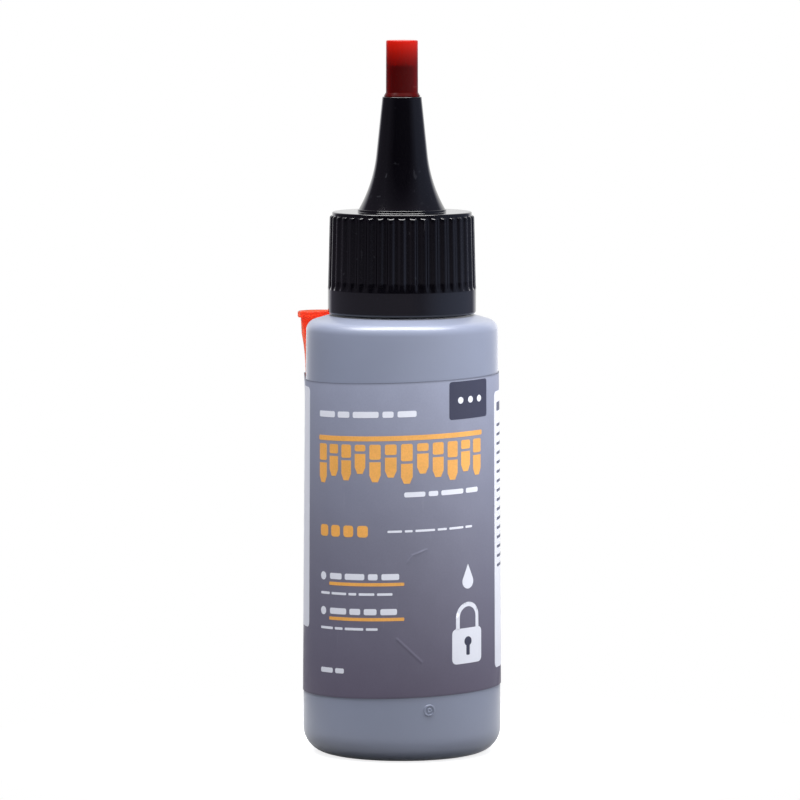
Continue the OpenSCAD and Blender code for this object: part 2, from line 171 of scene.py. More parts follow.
class CapSettings(bpy.types.PropertyGroup):
    """Sizes and colours of the spout cap and its tip cap."""

    band_radius: length("Band radius", "Outer radius of the plain band", CAP_HIGH.x)
    band_height: length("Band height", "Height of the plain band", 4.5 * MM)
    band_edge: length("Band edge", "Radius of the rounded edge under the band", 0.6 * MM)
    skirt_radius: length("Skirt radius", "Outer radius between the ribs, beside the band", 13.0 * MM)
    skirt_bore: length("Skirt bore", "Inner radius of the skirt", 11.95 * MM)
    skirt_draft: length("Skirt draft", "How far the skirt leans in towards the top", 0.33 * MM)
    rib_depth: length("Rib depth", "How far the ribs stand out", 0.41 * MM)
    rib_run: length("Rib run", "Height of a rib's rounded upper end", 0.5 * MM)
    rib_ramp: length("Rib ramp", "Height of the slope from the band into each groove", 0.75 * MM)
    rib_inset: length("Rib inset", "Distance from the rounded top edge down to the ribs", 0.4 * MM)
    rib_count: IntProperty(name="Ribs", description="Number of grip ribs", default=40, min=12, max=80)
    top_thickness: length("Top thickness", "Thickness of the cap's top", 2.0 * MM)
    top_edge: length("Top edge", "Radius of the rounded edge round the top", 0.25 * MM)
    step_height: length("Step height", "Height of the low step under the flare", 0.45 * MM)
    step_width: length("Step width", "How far the step stands out from the flare", 0.2 * MM)
    flare_height: length("Flare height", "Height of the flared foot of the spout", 9.95 * MM)
    flare_spread: length("Flare spread", "How far the flare spreads past the straight cone", 2.15 * MM)
    cone_angle: angle("Cone angle", "Half angle of the spout's straight part", 6)
    spout_tip: length("Spout tip", "Outer radius of the spout's end", 3.55 * MM)
    spout_wall: length("Spout wall", "Wall of the spout", 1.1 * MM)
    outlet_radius: length("Outlet radius", "Outer radius of the outlet", 2.1 * MM)
    outlet_bore: length("Outlet bore", "Radius of the outlet's bore", 1.1 * MM)
    thread_height: length("Thread height", "How far the cap's thread stands in", 1.0 * MM)
    thread_turns: level("Thread turns", "Turns of thread in the cap", 1.25)
    black: colour("Black", "Colour of the cap and spout", srgb(6, 5, 9))
    tip_bore: length("Tip cap bore", "Radius of the tip cap's bore", 2.15 * MM)
    tip_bore_depth: length("Tip cap depth", "Depth of the tip cap's bore", 6.2 * MM)
    tip_wall: length("Tip cap wall", "Wall of the tip cap at its foot", 0.76 * MM)
    tip_draft: length("Tip cap draft", "How far the tip cap leans in to its top", 0.03 * MM)
    tip_lip: length("Tip cap lip", "Height of the lip at the tip cap's foot", 0.8 * MM)
    tip_edge: length("Tip cap edge", "Radius of the rounded edge at its top", 0.25 * MM)
    red: colour("Red", "Colour of the translucent tip cap at its solid top", srgb(224, 30, 10))
    # Painted shade: a deeper red where the dark outlet inside shows through the translucent cap
    deep_red: colour("Deep red", "Colour of the tip cap over its bore", srgb(106, 2, 1))


class NozzleSettings(bpy.types.PropertyGroup):
    """Sizes and colour of the extension nozzle."""

    length: length("Length", "Length of the nozzle", 62 * MM)
    rim_radius: length("Rim radius", "Outer radius of the rim round the mouth", 3.35 * MM)
    rim_height: length("Rim height", "Height of the rim", 1.2 * MM)
    hub_radius: length("Hub radius", "Outer radius of the hub under its rim", 2.8 * MM)
    hub_foot: length("Hub foot", "Outer radius at the hub's lower end", 2.68 * MM)
    hub_length: length("Hub length", "Length of the hub", 4.2 * MM)
    flare_length: length("Flare length", "Length of the flare below the hub", 6.0 * MM)
    waist_radius: length("Waist radius", "Outer radius where the flare runs out", 2.125 * MM)
    tip_radius: length("Tip radius", "Outer radius of the thin end", 0.9 * MM)
    tip_bore: length("Tip bore", "Radius of the bore at the thin end", 0.45 * MM)
    wall: length("Wall", "Wall below the hub", 0.64 * MM)
    socket_radius: length("Socket radius", "Radius of the socket", 2.16 * MM)
    socket_depth: length("Socket depth", "Depth of the socket", 4.0 * MM)
    red: colour("Red", "Colour of the nozzle", srgb(254, 122, 90))


class LabelSettings(bpy.types.PropertyGroup):
    """Sizes and colours of the wrap label and its print."""

    gap: length("Gap", "Gap between the label and the wall", 0.04 * MM)
    pocket_gap: length("Pocket gap", "Gap between the label and the nozzle behind it", 0.15 * MM)
    film: length("Film", "Thickness of the film", 0.1 * MM)
    ink: length("Ink", "How far a layer of ink stands out from what it lies on", 0.022 * MM)
    tilt: angle("Tilt", "How far the label leans, higher on the right", 2.0)
    front_half: length("Front half", "Half width of the grey front, round the bottle", 21.6 * MM)
    crease: length("Crease", "Height of the creases in the film", 0.1 * MM)
    # Painted shadow: a thin dark line along both cut edges of the film
    edge_line: length("Edge line", "Width of the dark line along the film's cut edges", 0.3 * MM)
    top: colour("Top", "Film colour at the upper edge", srgb(147, 152, 173))
    middle: colour("Middle", "Film colour at half height", srgb(120, 121, 139))
    bottom: colour("Bottom", "Film colour at the lower edge", srgb(95, 89, 108))
    white: colour("White ink", "Colour of the pale print", srgb(226, 228, 238))
    gold: colour("Gold ink", "Colour of the gold print", srgb(238, 172, 86))
    dark: colour("Dark ink", "Colour of the dark print", srgb(62, 64, 86))
    grey: colour("Grey ink", "Colour of the small print on the side panels", srgb(96, 98, 118))


class StageSettings(bpy.types.PropertyGroup):
    """Floor, light and camera."""

    floor_radius: length("Floor radius", "Radius of the floor", 0.08)
    floor: colour("Floor", "Colour of the floor", srgb(176, 176, 178))
    floor_lift: level("Floor lift", "Light that the floor adds where it is seen, to look white", 0.8)
    floor_bounce: colour("Floor bounce", "Colour of the light that the floor sends back", srgb(16, 16, 18))
    fill_level: level("Fill", "Level of the soft light from all round", 1.05)
    room_level: level("Room", "How bright the room on the camera's side looks in reflections", 0.003)
    side_level: level("Sides", "How bright the room's sides look in reflections", 0.1)
    table_level: level("Table", "How bright the table in front looks in reflections", 0.16)
    top_power: level("Top lamp", "Power of the softbox overhead, in watts", 11.0)
    lens: level("Lens", "Focal length for a 36 mm frame, in millimetres", 260.9)
    distance: length("Distance", "Distance from the camera to its aim", 1.054)
    aim_height: length("Aim height", "Height of the point that the camera aims at", 64.2 * MM)
    aim_aside: length("Aim aside", "How far that point lies to the right of the bottle's axis", -0.36 * MM)
    pitch: angle("Pitch", "How far the camera looks down", 4.93)


class LubricantBottle(bpy.types.PropertyGroup):
    """Everything that a user would change."""

    bottle: PointerProperty(type=BottleSettings)
    cap: PointerProperty(type=CapSettings)
    nozzle: PointerProperty(type=NozzleSettings)
    label: PointerProperty(type=LabelSettings)
    stage: PointerProperty(type=StageSettings)


# Outlines and meshes


def filleted(corners):
    """Outline through corners of (radius, height, fillet), in which each fillet is an arc."""
    points = []
    last = len(corners) - 1
    for i, (radius, height, fillet) in enumerate(corners):
        here = complex(radius, height)
        if fillet == 0 or i in (0, last):
            points.append(here)
            continue
        before = complex(*corners[i - 1][:2]) - here
        after = complex(*corners[i + 1][:2]) - here
        before /= abs(before)
        after /= abs(after)
        half = abs(cmath.phase(after / before)) / 2
        middle = before + after
        centre = here + middle / abs(middle) * fillet / math.sin(half)
        start = here + before * fillet / math.tan(half) - centre
        end = here + after * fillet / math.tan(half) - centre
        turn = cmath.phase(end / start)
        steps = max(2, math.ceil(abs(turn) / ARC_STEP))
        points += [centre + start * cmath.exp(1j * turn * k / steps) for k in range(steps + 1)]
    return [(p.real, p.imag) for p in points]


def spaced(points, step):
    """The same outline with no stretch longer than the step."""
    made = []
    for (r0, z0), (r1, z1) in zip(points, points[1:]):
        parts = max(1, math.ceil(math.hypot(r1 - r0, z1 - z0) / step))
        made += [(r0 + (r1 - r0) * k / parts, z0 + (z1 - z0) * k / parts) for k in range(parts)]
    return made + [points[-1]]


def even_turns(count):
    return np.linspace(0, FULL_TURN, count, endpoint=False)


def revolved(radius, height, turns):
    """Rows of points round the Z axis, from a radius for each row and turn and a height for each row."""
    height = np.broadcast_to(np.reshape(height, (-1, 1)), radius.shape)
    return np.stack([radius * np.cos(turns), radius * np.sin(turns), height], axis=2)


def columns_of(outline, turns):
    """Radius of each outline point at each turn, and the points' heights."""
    outline = np.array(outline)
    radius = np.repeat(outline[:, :1], len(turns), axis=1)
    return radius, outline[:, 1]


def grid_faces(rows, columns, closed):
    """Quads between neighbouring loops of points, and from the last to the first in a closed grid."""
    index = np.arange(rows * columns).reshape(rows, columns)
    if closed:
        index = np.vstack([index, index[:1]])
    beside = np.roll(index, -1, axis=1)
    return np.stack([index[:-1], beside[:-1], beside[1:], index[1:]], axis=2).reshape(-1, 4)


def turned(outline, columns):
    """Rows of points of an outline that is turned round the Z axis."""
    turns = even_turns(columns)
    return revolved(*columns_of(outline, turns), turns)


def solid_mesh(name, grid, closed=False):
    """Mesh of a closed skin over a grid of points, with normals out and hard edges kept."""
    rows, columns = grid.shape[:2]
    faces = grid_faces(rows, columns, closed)
    mesh = bpy.data.meshes.new(name)
    mesh.from_pydata(grid.reshape(-1, 3).tolist(), [], faces.tolist())
    work = bmesh.new()
    work.from_mesh(mesh)
    bmesh.ops.remove_doubles(work, verts=work.verts, dist=MERGE)
    return finished(work, mesh)


def finished(work, mesh):
    """Writes the worked mesh back, with its normals out, smooth faces and hard edges kept."""
    bmesh.ops.recalc_face_normals(work, faces=work.faces)
    for face in work.faces:
        face.smooth = True
    work.to_mesh(mesh)
    work.free()
    mesh.set_sharp_from_angle(angle=SHARP_ANGLE)
    return mesh


def add_piece(mesh, material, body, stands_for=None):
    """Puts a mesh in the scene as a piece that moves with a body."""
    piece = bpy.data.objects.new(mesh.name, mesh)
    bpy.context.scene.collection.objects.link(piece)
    mesh.materials.append(material)
    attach(piece, body)
    if stands_for:
        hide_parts(stands_for)


def smooth_step(low, high, value):
    share = np.clip((value - low) / (high - low), 0, 1)
    return share * share * (3 - 2 * share)


def thread_share(bottle, height, turns, start, first, last):
    """Share of a thread's full height at each height and turn, for a helix between two turns of it."""
    run_out = 0.1
    flank = (bottle.thread_root - bottle.thread_crest) / 2
    share = np.zeros((len(height), len(turns)))
    for lap in range(math.ceil(last)):
        along = turns / FULL_TURN + lap
        ends = np.clip(np.minimum(along - first, last - along) / run_out, 0, 1)
        off = np.abs(height[:, None] - (start + along * bottle.thread_pitch))
        share = np.maximum(share, np.clip((bottle.thread_root / 2 - off) / flank, 0, 1) * ends)
    return share


def neck_thread_start(bottle):
    """Height at which the middle of the neck's thread begins."""
    rise = bottle.thread_turns * bottle.thread_pitch
    return BOTTLE_HIGH.z - bottle.thread_drop - bottle.thread_crest / 2 - rise


# Shader nodes


def feed(tree, socket, value):
    """Links a socket to another one, or sets it to a plain value."""
    if isinstance(value, bpy.types.NodeSocket):
        tree.links.new(value, socket)
    else:
        socket.default_value = value


def add_node(tree, kind, values=None, **settings):
    """A new shader node with its settings, and with values for its named inputs."""
    node = tree.nodes.new("ShaderNode" + kind)
    for name, setting in settings.items():
        setattr(node, name, setting)
    for name, value in (values or {}).items():
        feed(tree, node.inputs[name], value)
    return node


def opaque(rgb):
    return (*rgb, 1.0)


def scaled(rgb, factor):
    return opaque([factor * share for share in rgb])


def object_place(tree):
    return add_node(tree, "TexCoord").outputs["Object"]


def noise(tree, where, scale, detail=3.0):
    """Noise value round 0.5 that varies over about one part in scale of a metre."""
    values = {"Vector": where, "Scale": scale, "Detail": detail, "Roughness": 0.55}
    return add_node(tree, "TexNoise", values).outputs["Fac"]


def cells(tree, where, scale, **settings):
    """Outputs of a pattern of cells, each about one part in scale of a metre across."""
    return add_node(tree, "TexVoronoi", {"Vector": where, "Scale": scale}, **settings).outputs


def ranged(tree, value, from_low, from_high, to_low=0.0, to_high=1.0):
    """A value carried from one range to another, and kept inside it."""
    values = {
        "Value": value,
        "From Min": from_low,
        "From Max": from_high,
        "To Min": to_low,
        "To Max": to_high,
    }
    return add_node(tree, "MapRange", values).outputs["Result"]


def maths(tree, operation, *values):
    node = add_node(tree, "Math", operation=operation)
    for socket, value in zip(node.inputs, values):
        feed(tree, socket, value)
    return node.outputs["Value"]


def reach_along(tree, vector, direction):
    """How far a vector reaches along a direction, times the direction's length."""
    node = add_node(tree, "VectorMath", operation="DOT_PRODUCT")
    feed(tree, node.inputs[0], vector)
    feed(tree, node.inputs[1], direction)
    return node.outputs["Value"]


def mixed(tree, share, first, second):
    """Mix of two colours by a share from 0 to 1."""
    node = add_node(tree, "Mix", data_type="RGBA")
    chosen = {"Factor_Float": share, "A_Color": first, "B_Color": second}
    for socket in node.inputs:
        if socket.identifier in chosen:
            feed(tree, socket, chosen[socket.identifier])
    return next(s for s in node.outputs if s.identifier == "Result_Color")


def swung(tree, tone, swing, amount):
    """A tone made lighter and darker by an amount of a swing round 0."""
    bright = maths(tree, "MULTIPLY_ADD", swing, amount, 1.0)
    return add_node(tree, "HueSaturation", {"Value": bright, "Color": tone}).outputs["Color"]


def new_group(name, inputs, outputs):
    """An empty node group with named sockets, and its input and output nodes."""
    group = bpy.data.node_groups.new(name, "ShaderNodeTree")
    for socket, kind, default in inputs:
        made = group.interface.new_socket(socket, in_out="INPUT", socket_type="NodeSocket" + kind)
        made.default_value = default
    for socket, kind in outputs:
        group.interface.new_socket(socket, in_out="OUTPUT", socket_type="NodeSocket" + kind)
    return group, group.nodes.new("NodeGroupInput"), group.nodes.new("NodeGroupOutput")


def put_out(group, node, values):
    """Links values to a group's output node, and gives the group."""
    for name, value in values.items():
        group.links.new(value, node.inputs[name])
    return group


def shared_group(build):
    """Builds a node group once and finds it again by its name."""

    @functools.wraps(build)
    def found():
        return bpy.data.node_groups.get(build.__name__) or build(build.__name__)

    return found


def use_group(tree, group, values):
    return add_node(tree, "Group", values, node_tree=group).outputs


@shared_group
def moulded_grain(name):
    """Slow drift of tone and fine grain of a moulded plastic."""
    drift_scale = 70.0
    patch_scale = 260.0
    group, given, out = new_group(
        name,
        [
            ("Colour", "Color", (0.5, 0.5, 0.5, 1)),
            ("Roughness", "Float", 0.4),
            ("Swing", "Float", 0.1),
            ("Drift", "Float", 0.06),
            ("Grain scale", "Float", 1500.0),
        ],
        [("Colour", "Color"), ("Roughness", "Float"), ("Height", "Float")],
    )
    place = object_place(group)
    drift = maths(group, "SUBTRACT", noise(group, place, drift_scale), 0.5)
    swing = maths(group, "MULTIPLY", drift, given.outputs["Drift"])
    grain = noise(group, place, given.outputs["Grain scale"], detail=2.0)
    patches = maths(group, "SUBTRACT", noise(group, place, patch_scale), 1.0)
    uneven = maths(group, "ADD", patches, grain)
    rough = maths(group, "MULTIPLY", uneven, given.outputs["Swing"])
    return put_out(group, out, {
        "Colour": swung(group, given.outputs["Colour"], swing, 2.0),
        "Roughness": maths(group, "ADD", given.outputs["Roughness"], rough),
        "Height": grain,
    })


@shared_group
def handling_marks(name):
    """Mask of short fine scratches and dust specks, thin and scattered."""
    patch_scale = 150.0
    dust_scale = 900.0
    dust_share = 0.1
    group, given, out = new_group(name, [("Amount", "Float", 1.0)], [("Mask", "Float")])
    place = object_place(group)
    lines = []
    for lean, stretch in ((0.7, (1500.0, 1500.0, 90.0)), (-1.1, (1300.0, 110.0, 1300.0))):
        values = {"Vector": place, "Rotation": (lean, 0.5 * lean, 0.3), "Scale": stretch}
        drawn = add_node(group, "Mapping", values).outputs["Vector"]
        lines.append(ranged(group, noise(group, drawn, 1.0, detail=1.0), 0.69, 0.74))
    patches = ranged(group, noise(group, place, patch_scale, detail=2.0), 0.55, 0.66)
    scratches = maths(group, "MULTIPLY", maths(group, "MAXIMUM", *lines), patches)
    grains = cells(group, place, dust_scale)
    speck = ranged(group, grains["Distance"], 0.09, 0.04)
    chosen = add_node(group, "SeparateColor", {"Color": grains["Color"]}).outputs["Red"]
    dust = maths(group, "MULTIPLY", speck, maths(group, "GREATER_THAN", chosen, 1 - dust_share))
    marks = maths(group, "MAXIMUM", scratches, dust)
    return put_out(group, out, {"Mask": maths(group, "MULTIPLY", marks, given.outputs["Amount"])})


@shared_group
def printed_ink(name):
    """Fine mottle of ink on film."""
    fine_scale = 3200.0
    broad_scale = 240.0
    group, given, out = new_group(
        name,
        [("Colour", "Color", (0.5, 0.5, 0.5, 1)), ("Mottle", "Float", 0.1)],
        [("Colour", "Color"), ("Roughness", "Float"), ("Height", "Float")],
    )
    place = object_place(group)
    fine = noise(group, place, fine_scale, detail=2.0)
    broad = noise(group, place, broad_scale)
    swing = maths(group, "SUBTRACT", maths(group, "ADD", fine, broad), 1.0)
    return put_out(group, out, {
        "Colour": swung(group, given.outputs["Colour"], swing, given.outputs["Mottle"]),
        "Roughness": ranged(group, broad, 0.3, 0.7, 0.38, 0.52),
        "Height": fine,
    })


def empty_material(name):
    material = bpy.data.materials.new(name)
    material.use_nodes = True
    material.node_tree.nodes.clear()
    return material, material.node_tree


def new_material(name):
    """A material with its tree and its principled shader, which is linked to the output."""
    material, tree = empty_material(name)
    shader = add_node(tree, "BsdfPrincipled")
    add_node(tree, "OutputMaterial", {"Surface": shader.outputs["BSDF"]})
    return material, tree, shader


def link_finish(tree, shader, tone, finish, strength, depth):
    """Links a tone, and a finish's roughness and height, to the shader."""
    values = {"Height": finish["Height"], "Strength": strength, "Distance": depth}
    relief = add_node(tree, "Bump", values).outputs["Normal"]
    tree.links.new(tone, shader.inputs["Base Color"])
    tree.links.new(finish["Roughness"], shader.inputs["Roughness"])
    tree.links.new(relief, shader.inputs["Normal"])


def deepened(tree, plain, shade_rgb, low, high):
    """A tone that turns from a painted shade colour to plain between two heights, faster towards the upper
    one.
    """
    lag = 1.6
    height = add_node(tree, "SeparateXYZ", {"Vector": object_place(tree)}).outputs["Z"]
    share = maths(tree, "POWER", ranged(tree, height, low, high), lag)
    return mixed(tree, share, opaque(shade_rgb), plain)


def plastic_material(name, finish_values, gloss, marks, relief, painted_shade=None):
    """Moulded plastic with a finish, values for its shader, handling marks and a relief's strength.

    Marks are their amount and colour. A painted shade is its colour and the heights that it turns between.
    """
    mark_amount, mark_rgb = marks
    material, tree, shader = new_material(name)
    if painted_shade:
        finish_values = {**finish_values, "Colour": deepened(tree, finish_values["Colour"], *painted_shade)}
    finish = use_group(tree, moulded_grain(), finish_values)
    worn = use_group(tree, handling_marks(), {"Amount": mark_amount})
    tone = mixed(tree, worn["Mask"], finish["Colour"], opaque(mark_rgb))
    link_finish(tree, shader, tone, finish, relief, PLASTIC_DEPTH)
    for socket, value in gloss.items():
        shader.inputs[socket].default_value = value
    return material


def ink_material(name, rgb, mottle):
    material, tree, shader = new_material(name)
    finish = use_group(tree, printed_ink(), {"Colour": opaque(rgb), "Mottle": mottle})
    link_finish(tree, shader, finish["Colour"], finish, INK_RELIEF, INK_DEPTH)
    return material


def film_material(label):
    """Label film whose printed ground darkens from its upper edge to its lower one."""
    foot_shade, top_shade = 0.75, 0.4
    mottle = 0.12
    wear = 0.02
    material, tree, shader = new_material("label_film_print")
    upward = reach_along(tree, object_place(tree), (-math.tan(label.tilt), 0.0, 1.0))
    ramp = add_node(tree, "ValToRGB", {"Fac": ranged(tree, upward, LABEL_LOW.z, LABEL_HIGH.z)})
    stops = ramp.color_ramp.elements
    edge = label.edge_line / (LABEL_HIGH.z - LABEL_LOW.z)
    for place, tone in ((edge, label.bottom), (0.5, label.middle), (1 - edge, label.top)):
        stops.new(place).color = opaque(tone)
    # Painted shadow: a thin darker line along the film's cut edges stands in for the shadow at its edges
    stops[0].color = scaled(label.bottom, foot_shade)
    stops[len(stops) - 1].color = scaled(label.top, top_shade)
    finish = use_group(tree, printed_ink(), {"Colour": ramp.outputs["Color"], "Mottle": mottle})
    worn = use_group(tree, handling_marks(), {"Amount": wear})
    tone = mixed(tree, worn["Mask"], finish["Colour"], opaque(label.white))
    link_finish(tree, shader, tone, finish, INK_RELIEF, INK_DEPTH)
    return material


def foam_material(rgb):
    """Closed-cell foam: small round cells with soft edges."""
    cell_scale = 2600.0
    patch_scale = 300.0
    edge_tone = (0.6, 0.58, 0.52, 1)
    material, tree, shader = new_material("seal_foam_cells")
    place = object_place(tree)
    from_middle = cells(tree, place, cell_scale, feature="SMOOTH_F1")["Distance"]
    tone = mixed(tree, ranged(tree, from_middle, 0.0, 0.8, 0.0, 0.35), opaque(rgb), edge_tone)
    rough = ranged(tree, noise(tree, place, patch_scale), 0.3, 0.7, 0.75, 0.95)
    finish = {"Roughness": rough, "Height": from_middle}
    link_finish(tree, shader, tone, finish, strength=0.5, depth=0.1 * MM)
    return material


def graphite_material(rgb):
    """Dull powder with a scatter of bright flakes."""
    flake_scale = 3500.0
    grain_scale = 1800.0
    patch_scale = 400.0
    pale_factor = 2.2
    material, tree, shader = new_material("graphite_powder")
    place = object_place(tree)
    shine = ranged(tree, cells(tree, place, flake_scale)["Distance"], 0.35, 0.1)
    tree.links.new(shine, shader.inputs["Metallic"])
    tone = mixed(tree, noise(tree, place, patch_scale), opaque(rgb), scaled(rgb, pale_factor))
    rough = ranged(tree, shine, 0.0, 1.0, 0.85, 0.35)
    finish = {"Roughness": rough, "Height": noise(tree, place, grain_scale)}
    link_finish(tree, shader, tone, finish, strength=0.6, depth=0.2 * MM)
    return material


# Shapes that more than one piece follows


def side_radius(bottle, height):
    """Outer radius of the body at a height between its corners."""
    low = bottle.foot_corner
    high = bottle.shoulder_height - bottle.shoulder_corner
    narrowing = bottle.foot_radius - bottle.shoulder_radius
    return bottle.foot_radius - narrowing * (height - low) / (high - low)


def shoulder_corners(bottle, inset):
    """Corners of the outline at the shoulder's edge and at its flat top, moved in by an inset."""
    lean = math.atan(bottle.shoulder_rise / bottle.shoulder_run)
    edge = side_radius(bottle, bottle.shoulder_height) - inset
    edge_rise = math.tan(lean) * (bottle.shoulder_radius - edge) - inset / math.cos(lean)
    flat = bottle.shoulder_radius - bottle.shoulder_run - inset * math.tan(lean / 2)
    flat_rise = bottle.shoulder_rise - inset
    return [
        (edge, bottle.shoulder_height + edge_rise, bottle.shoulder_corner - inset),
        (flat, bottle.shoulder_height + flat_rise, SHOULDER_EDGE),
    ]


def body_corners(bottle, inset):
    """Corners of the body's outline from under the base to the shoulder, moved in by an inset."""
    ring_outer = bottle.foot_radius - bottle.foot_corner
    recess = ring_outer - bottle.ring_width
    return [
        (0, bottle.recess_depth + inset, 0),
        (recess - bottle.recess_slope, bottle.recess_depth + inset, RECESS_EDGE),
        (recess, inset, RECESS_EDGE),
        (side_radius(bottle, 0) - inset, inset, bottle.foot_corner - inset),
        *shoulder_corners(bottle, inset),
    ]


def nozzle_mouth(nozzle):
    """Middle of the nozzle's mouth, worked out from its packed box and its axis."""
    rim_rise = nozzle.rim_radius * math.hypot(NOZZLE_AXIS.x, NOZZLE_AXIS.y)
    return Vector((
        NOZZLE_LOW.x + nozzle.rim_radius,
        NOZZLE_HIGH.y - nozzle.rim_radius,
        NOZZLE_HIGH.z - rim_rise,
    ))


def nozzle_radius(nozzle, depth):
    """Outer radius of the nozzle below its rim, at a depth below its mouth."""
    waist = nozzle.hub_length + nozzle.flare_length
    if depth < waist:
        left = min(1, (waist - depth) / nozzle.flare_length)
        return nozzle.waist_radius + (nozzle.hub_foot - nozzle.waist_radius) * left**2
    share = (depth - waist) / (nozzle.length - waist)
    return nozzle.waist_radius + (nozzle.tip_radius - nozzle.waist_radius) * share


def turned_arc(middle, radius, start, end, steps):
    turns = np.linspace(start, end, steps + 1)
    return np.stack([middle + radius * np.cos(turns), radius * np.sin(turns)], axis=1)


@functools.lru_cache(maxsize=4096)
def label_loop(height):
    """Loop of the film's inner face at a height: distances round it from the front, points and normals.

    It follows the wall, and wraps the nozzle with straight tangents between the two.
    """
    long_steps, pocket_steps, short_steps = 150, 40, 80
    even_points = 900
    settings = bpy.context.scene.lubricant
    mouth = nozzle_mouth(settings.nozzle)
    depth = (mouth.z - height) / NOZZLE_AXIS.z
    centre = mouth - depth * NOZZLE_AXIS
    reach = math.hypot(centre.x, centre.y)
    azimuth = math.atan2(centre.y, centre.x)
    wall = side_radius(settings.bottle, height) + settings.label.gap
    pocket = nozzle_radius(settings.nozzle, depth) + settings.label.pocket_gap
    tangent = math.acos((wall - pocket) / reach)
    front = (-math.pi / 2 - azimuth) % FULL_TURN
    points = np.vstack([
        turned_arc(0, wall, front, FULL_TURN - tangent, long_steps),
        turned_arc(reach, pocket, -tangent, tangent, pocket_steps),
        turned_arc(0, wall, tangent, front, short_steps),
    ])
    turn = np.array([[math.cos(azimuth), math.sin(azimuth)], [-math.sin(azimuth), math.cos(azimuth)]])
    points = points @ turn
    steps = np.diff(points, axis=0)
    round_it = np.concatenate([[0], np.cumsum(np.hypot(steps[:, 0], steps[:, 1]))])
    # Evenly spread points make the normals smooth
    even = np.linspace(0, round_it[-1], even_points)
    points = np.stack([np.interp(even, round_it, points[:, k]) for k in (0, 1)], axis=1)
    run = np.roll(points[:-1], -1, axis=0) - np.roll(points[:-1], 1, axis=0)
    run = np.vstack([run, run[:1]])
    normals = np.stack([run[:, 1], -run[:, 0]], axis=1) / np.hypot(run[:, 0], run[:, 1])[:, None]
    return even, points, normals


def loop_at(height):
    """The label's loop at a height, rounded so that points of one row share it."""
    return label_loop(round(float(height), 7))


def crease_height(label, around, height):
    """How far the creases lift the film, at distances round it from the front and at a height."""
    # Both ends of each crease, round from the front and up, and its half width, in millimetres
    creases = (
        ((1.0, 36.4), (1.8, 37.7), 0.15),
        ((1.8, 37.7), (4.4, 38.6), 0.15),
        ((-0.9, 22.7), (3.5, 18.4), 0.18),
        ((23.5, 12.2), (25.0, 15.4), 0.6),
    )
    lift = np.zeros_like(around)
    for start, end, width in creases:
        a = np.array(start) * MM
        run = np.array(end) * MM - a
        along = np.clip(((around - a[0]) * run[0] + (height - a[1]) * run[1]) / (run @ run), 0, 1)
        off = np.hypot(around - a[0] - along * run[0], height - a[1] - along * run[1]) / (width * MM)
        lift = np.maximum(lift, label.crease * np.exp(-off * off))
    return lift


def label_points(label, around, height, out):
    """Points at distances round the label from the front, at one height, lifted off its inner face."""
    distances, points, normals = loop_at(height)
    here = np.mod(around, distances[-1])
    signed = np.where(here > distances[-1] / 2, here - distances[-1], here)
    lift = out + crease_height(label, signed, height)
    on_loop = [np.interp(here, distances, points[:, k]) for k in (0, 1)]
    outward = [np.interp(here, distances, normals[:, k]) for k in (0, 1)]
    x, y = (p + lift * n for p, n in zip(on_loop, outward))
    return np.stack([x, y, height + math.tan(label.tilt) * x], axis=-1)


# Pieces


class PieceOperator(bpy.types.Operator):
    """Base of the operators that make one piece or group of pieces."""

    bl_options = {"REGISTER", "UNDO"}

    @property
    def settings(self):
        return bpy.context.scene.lubricant


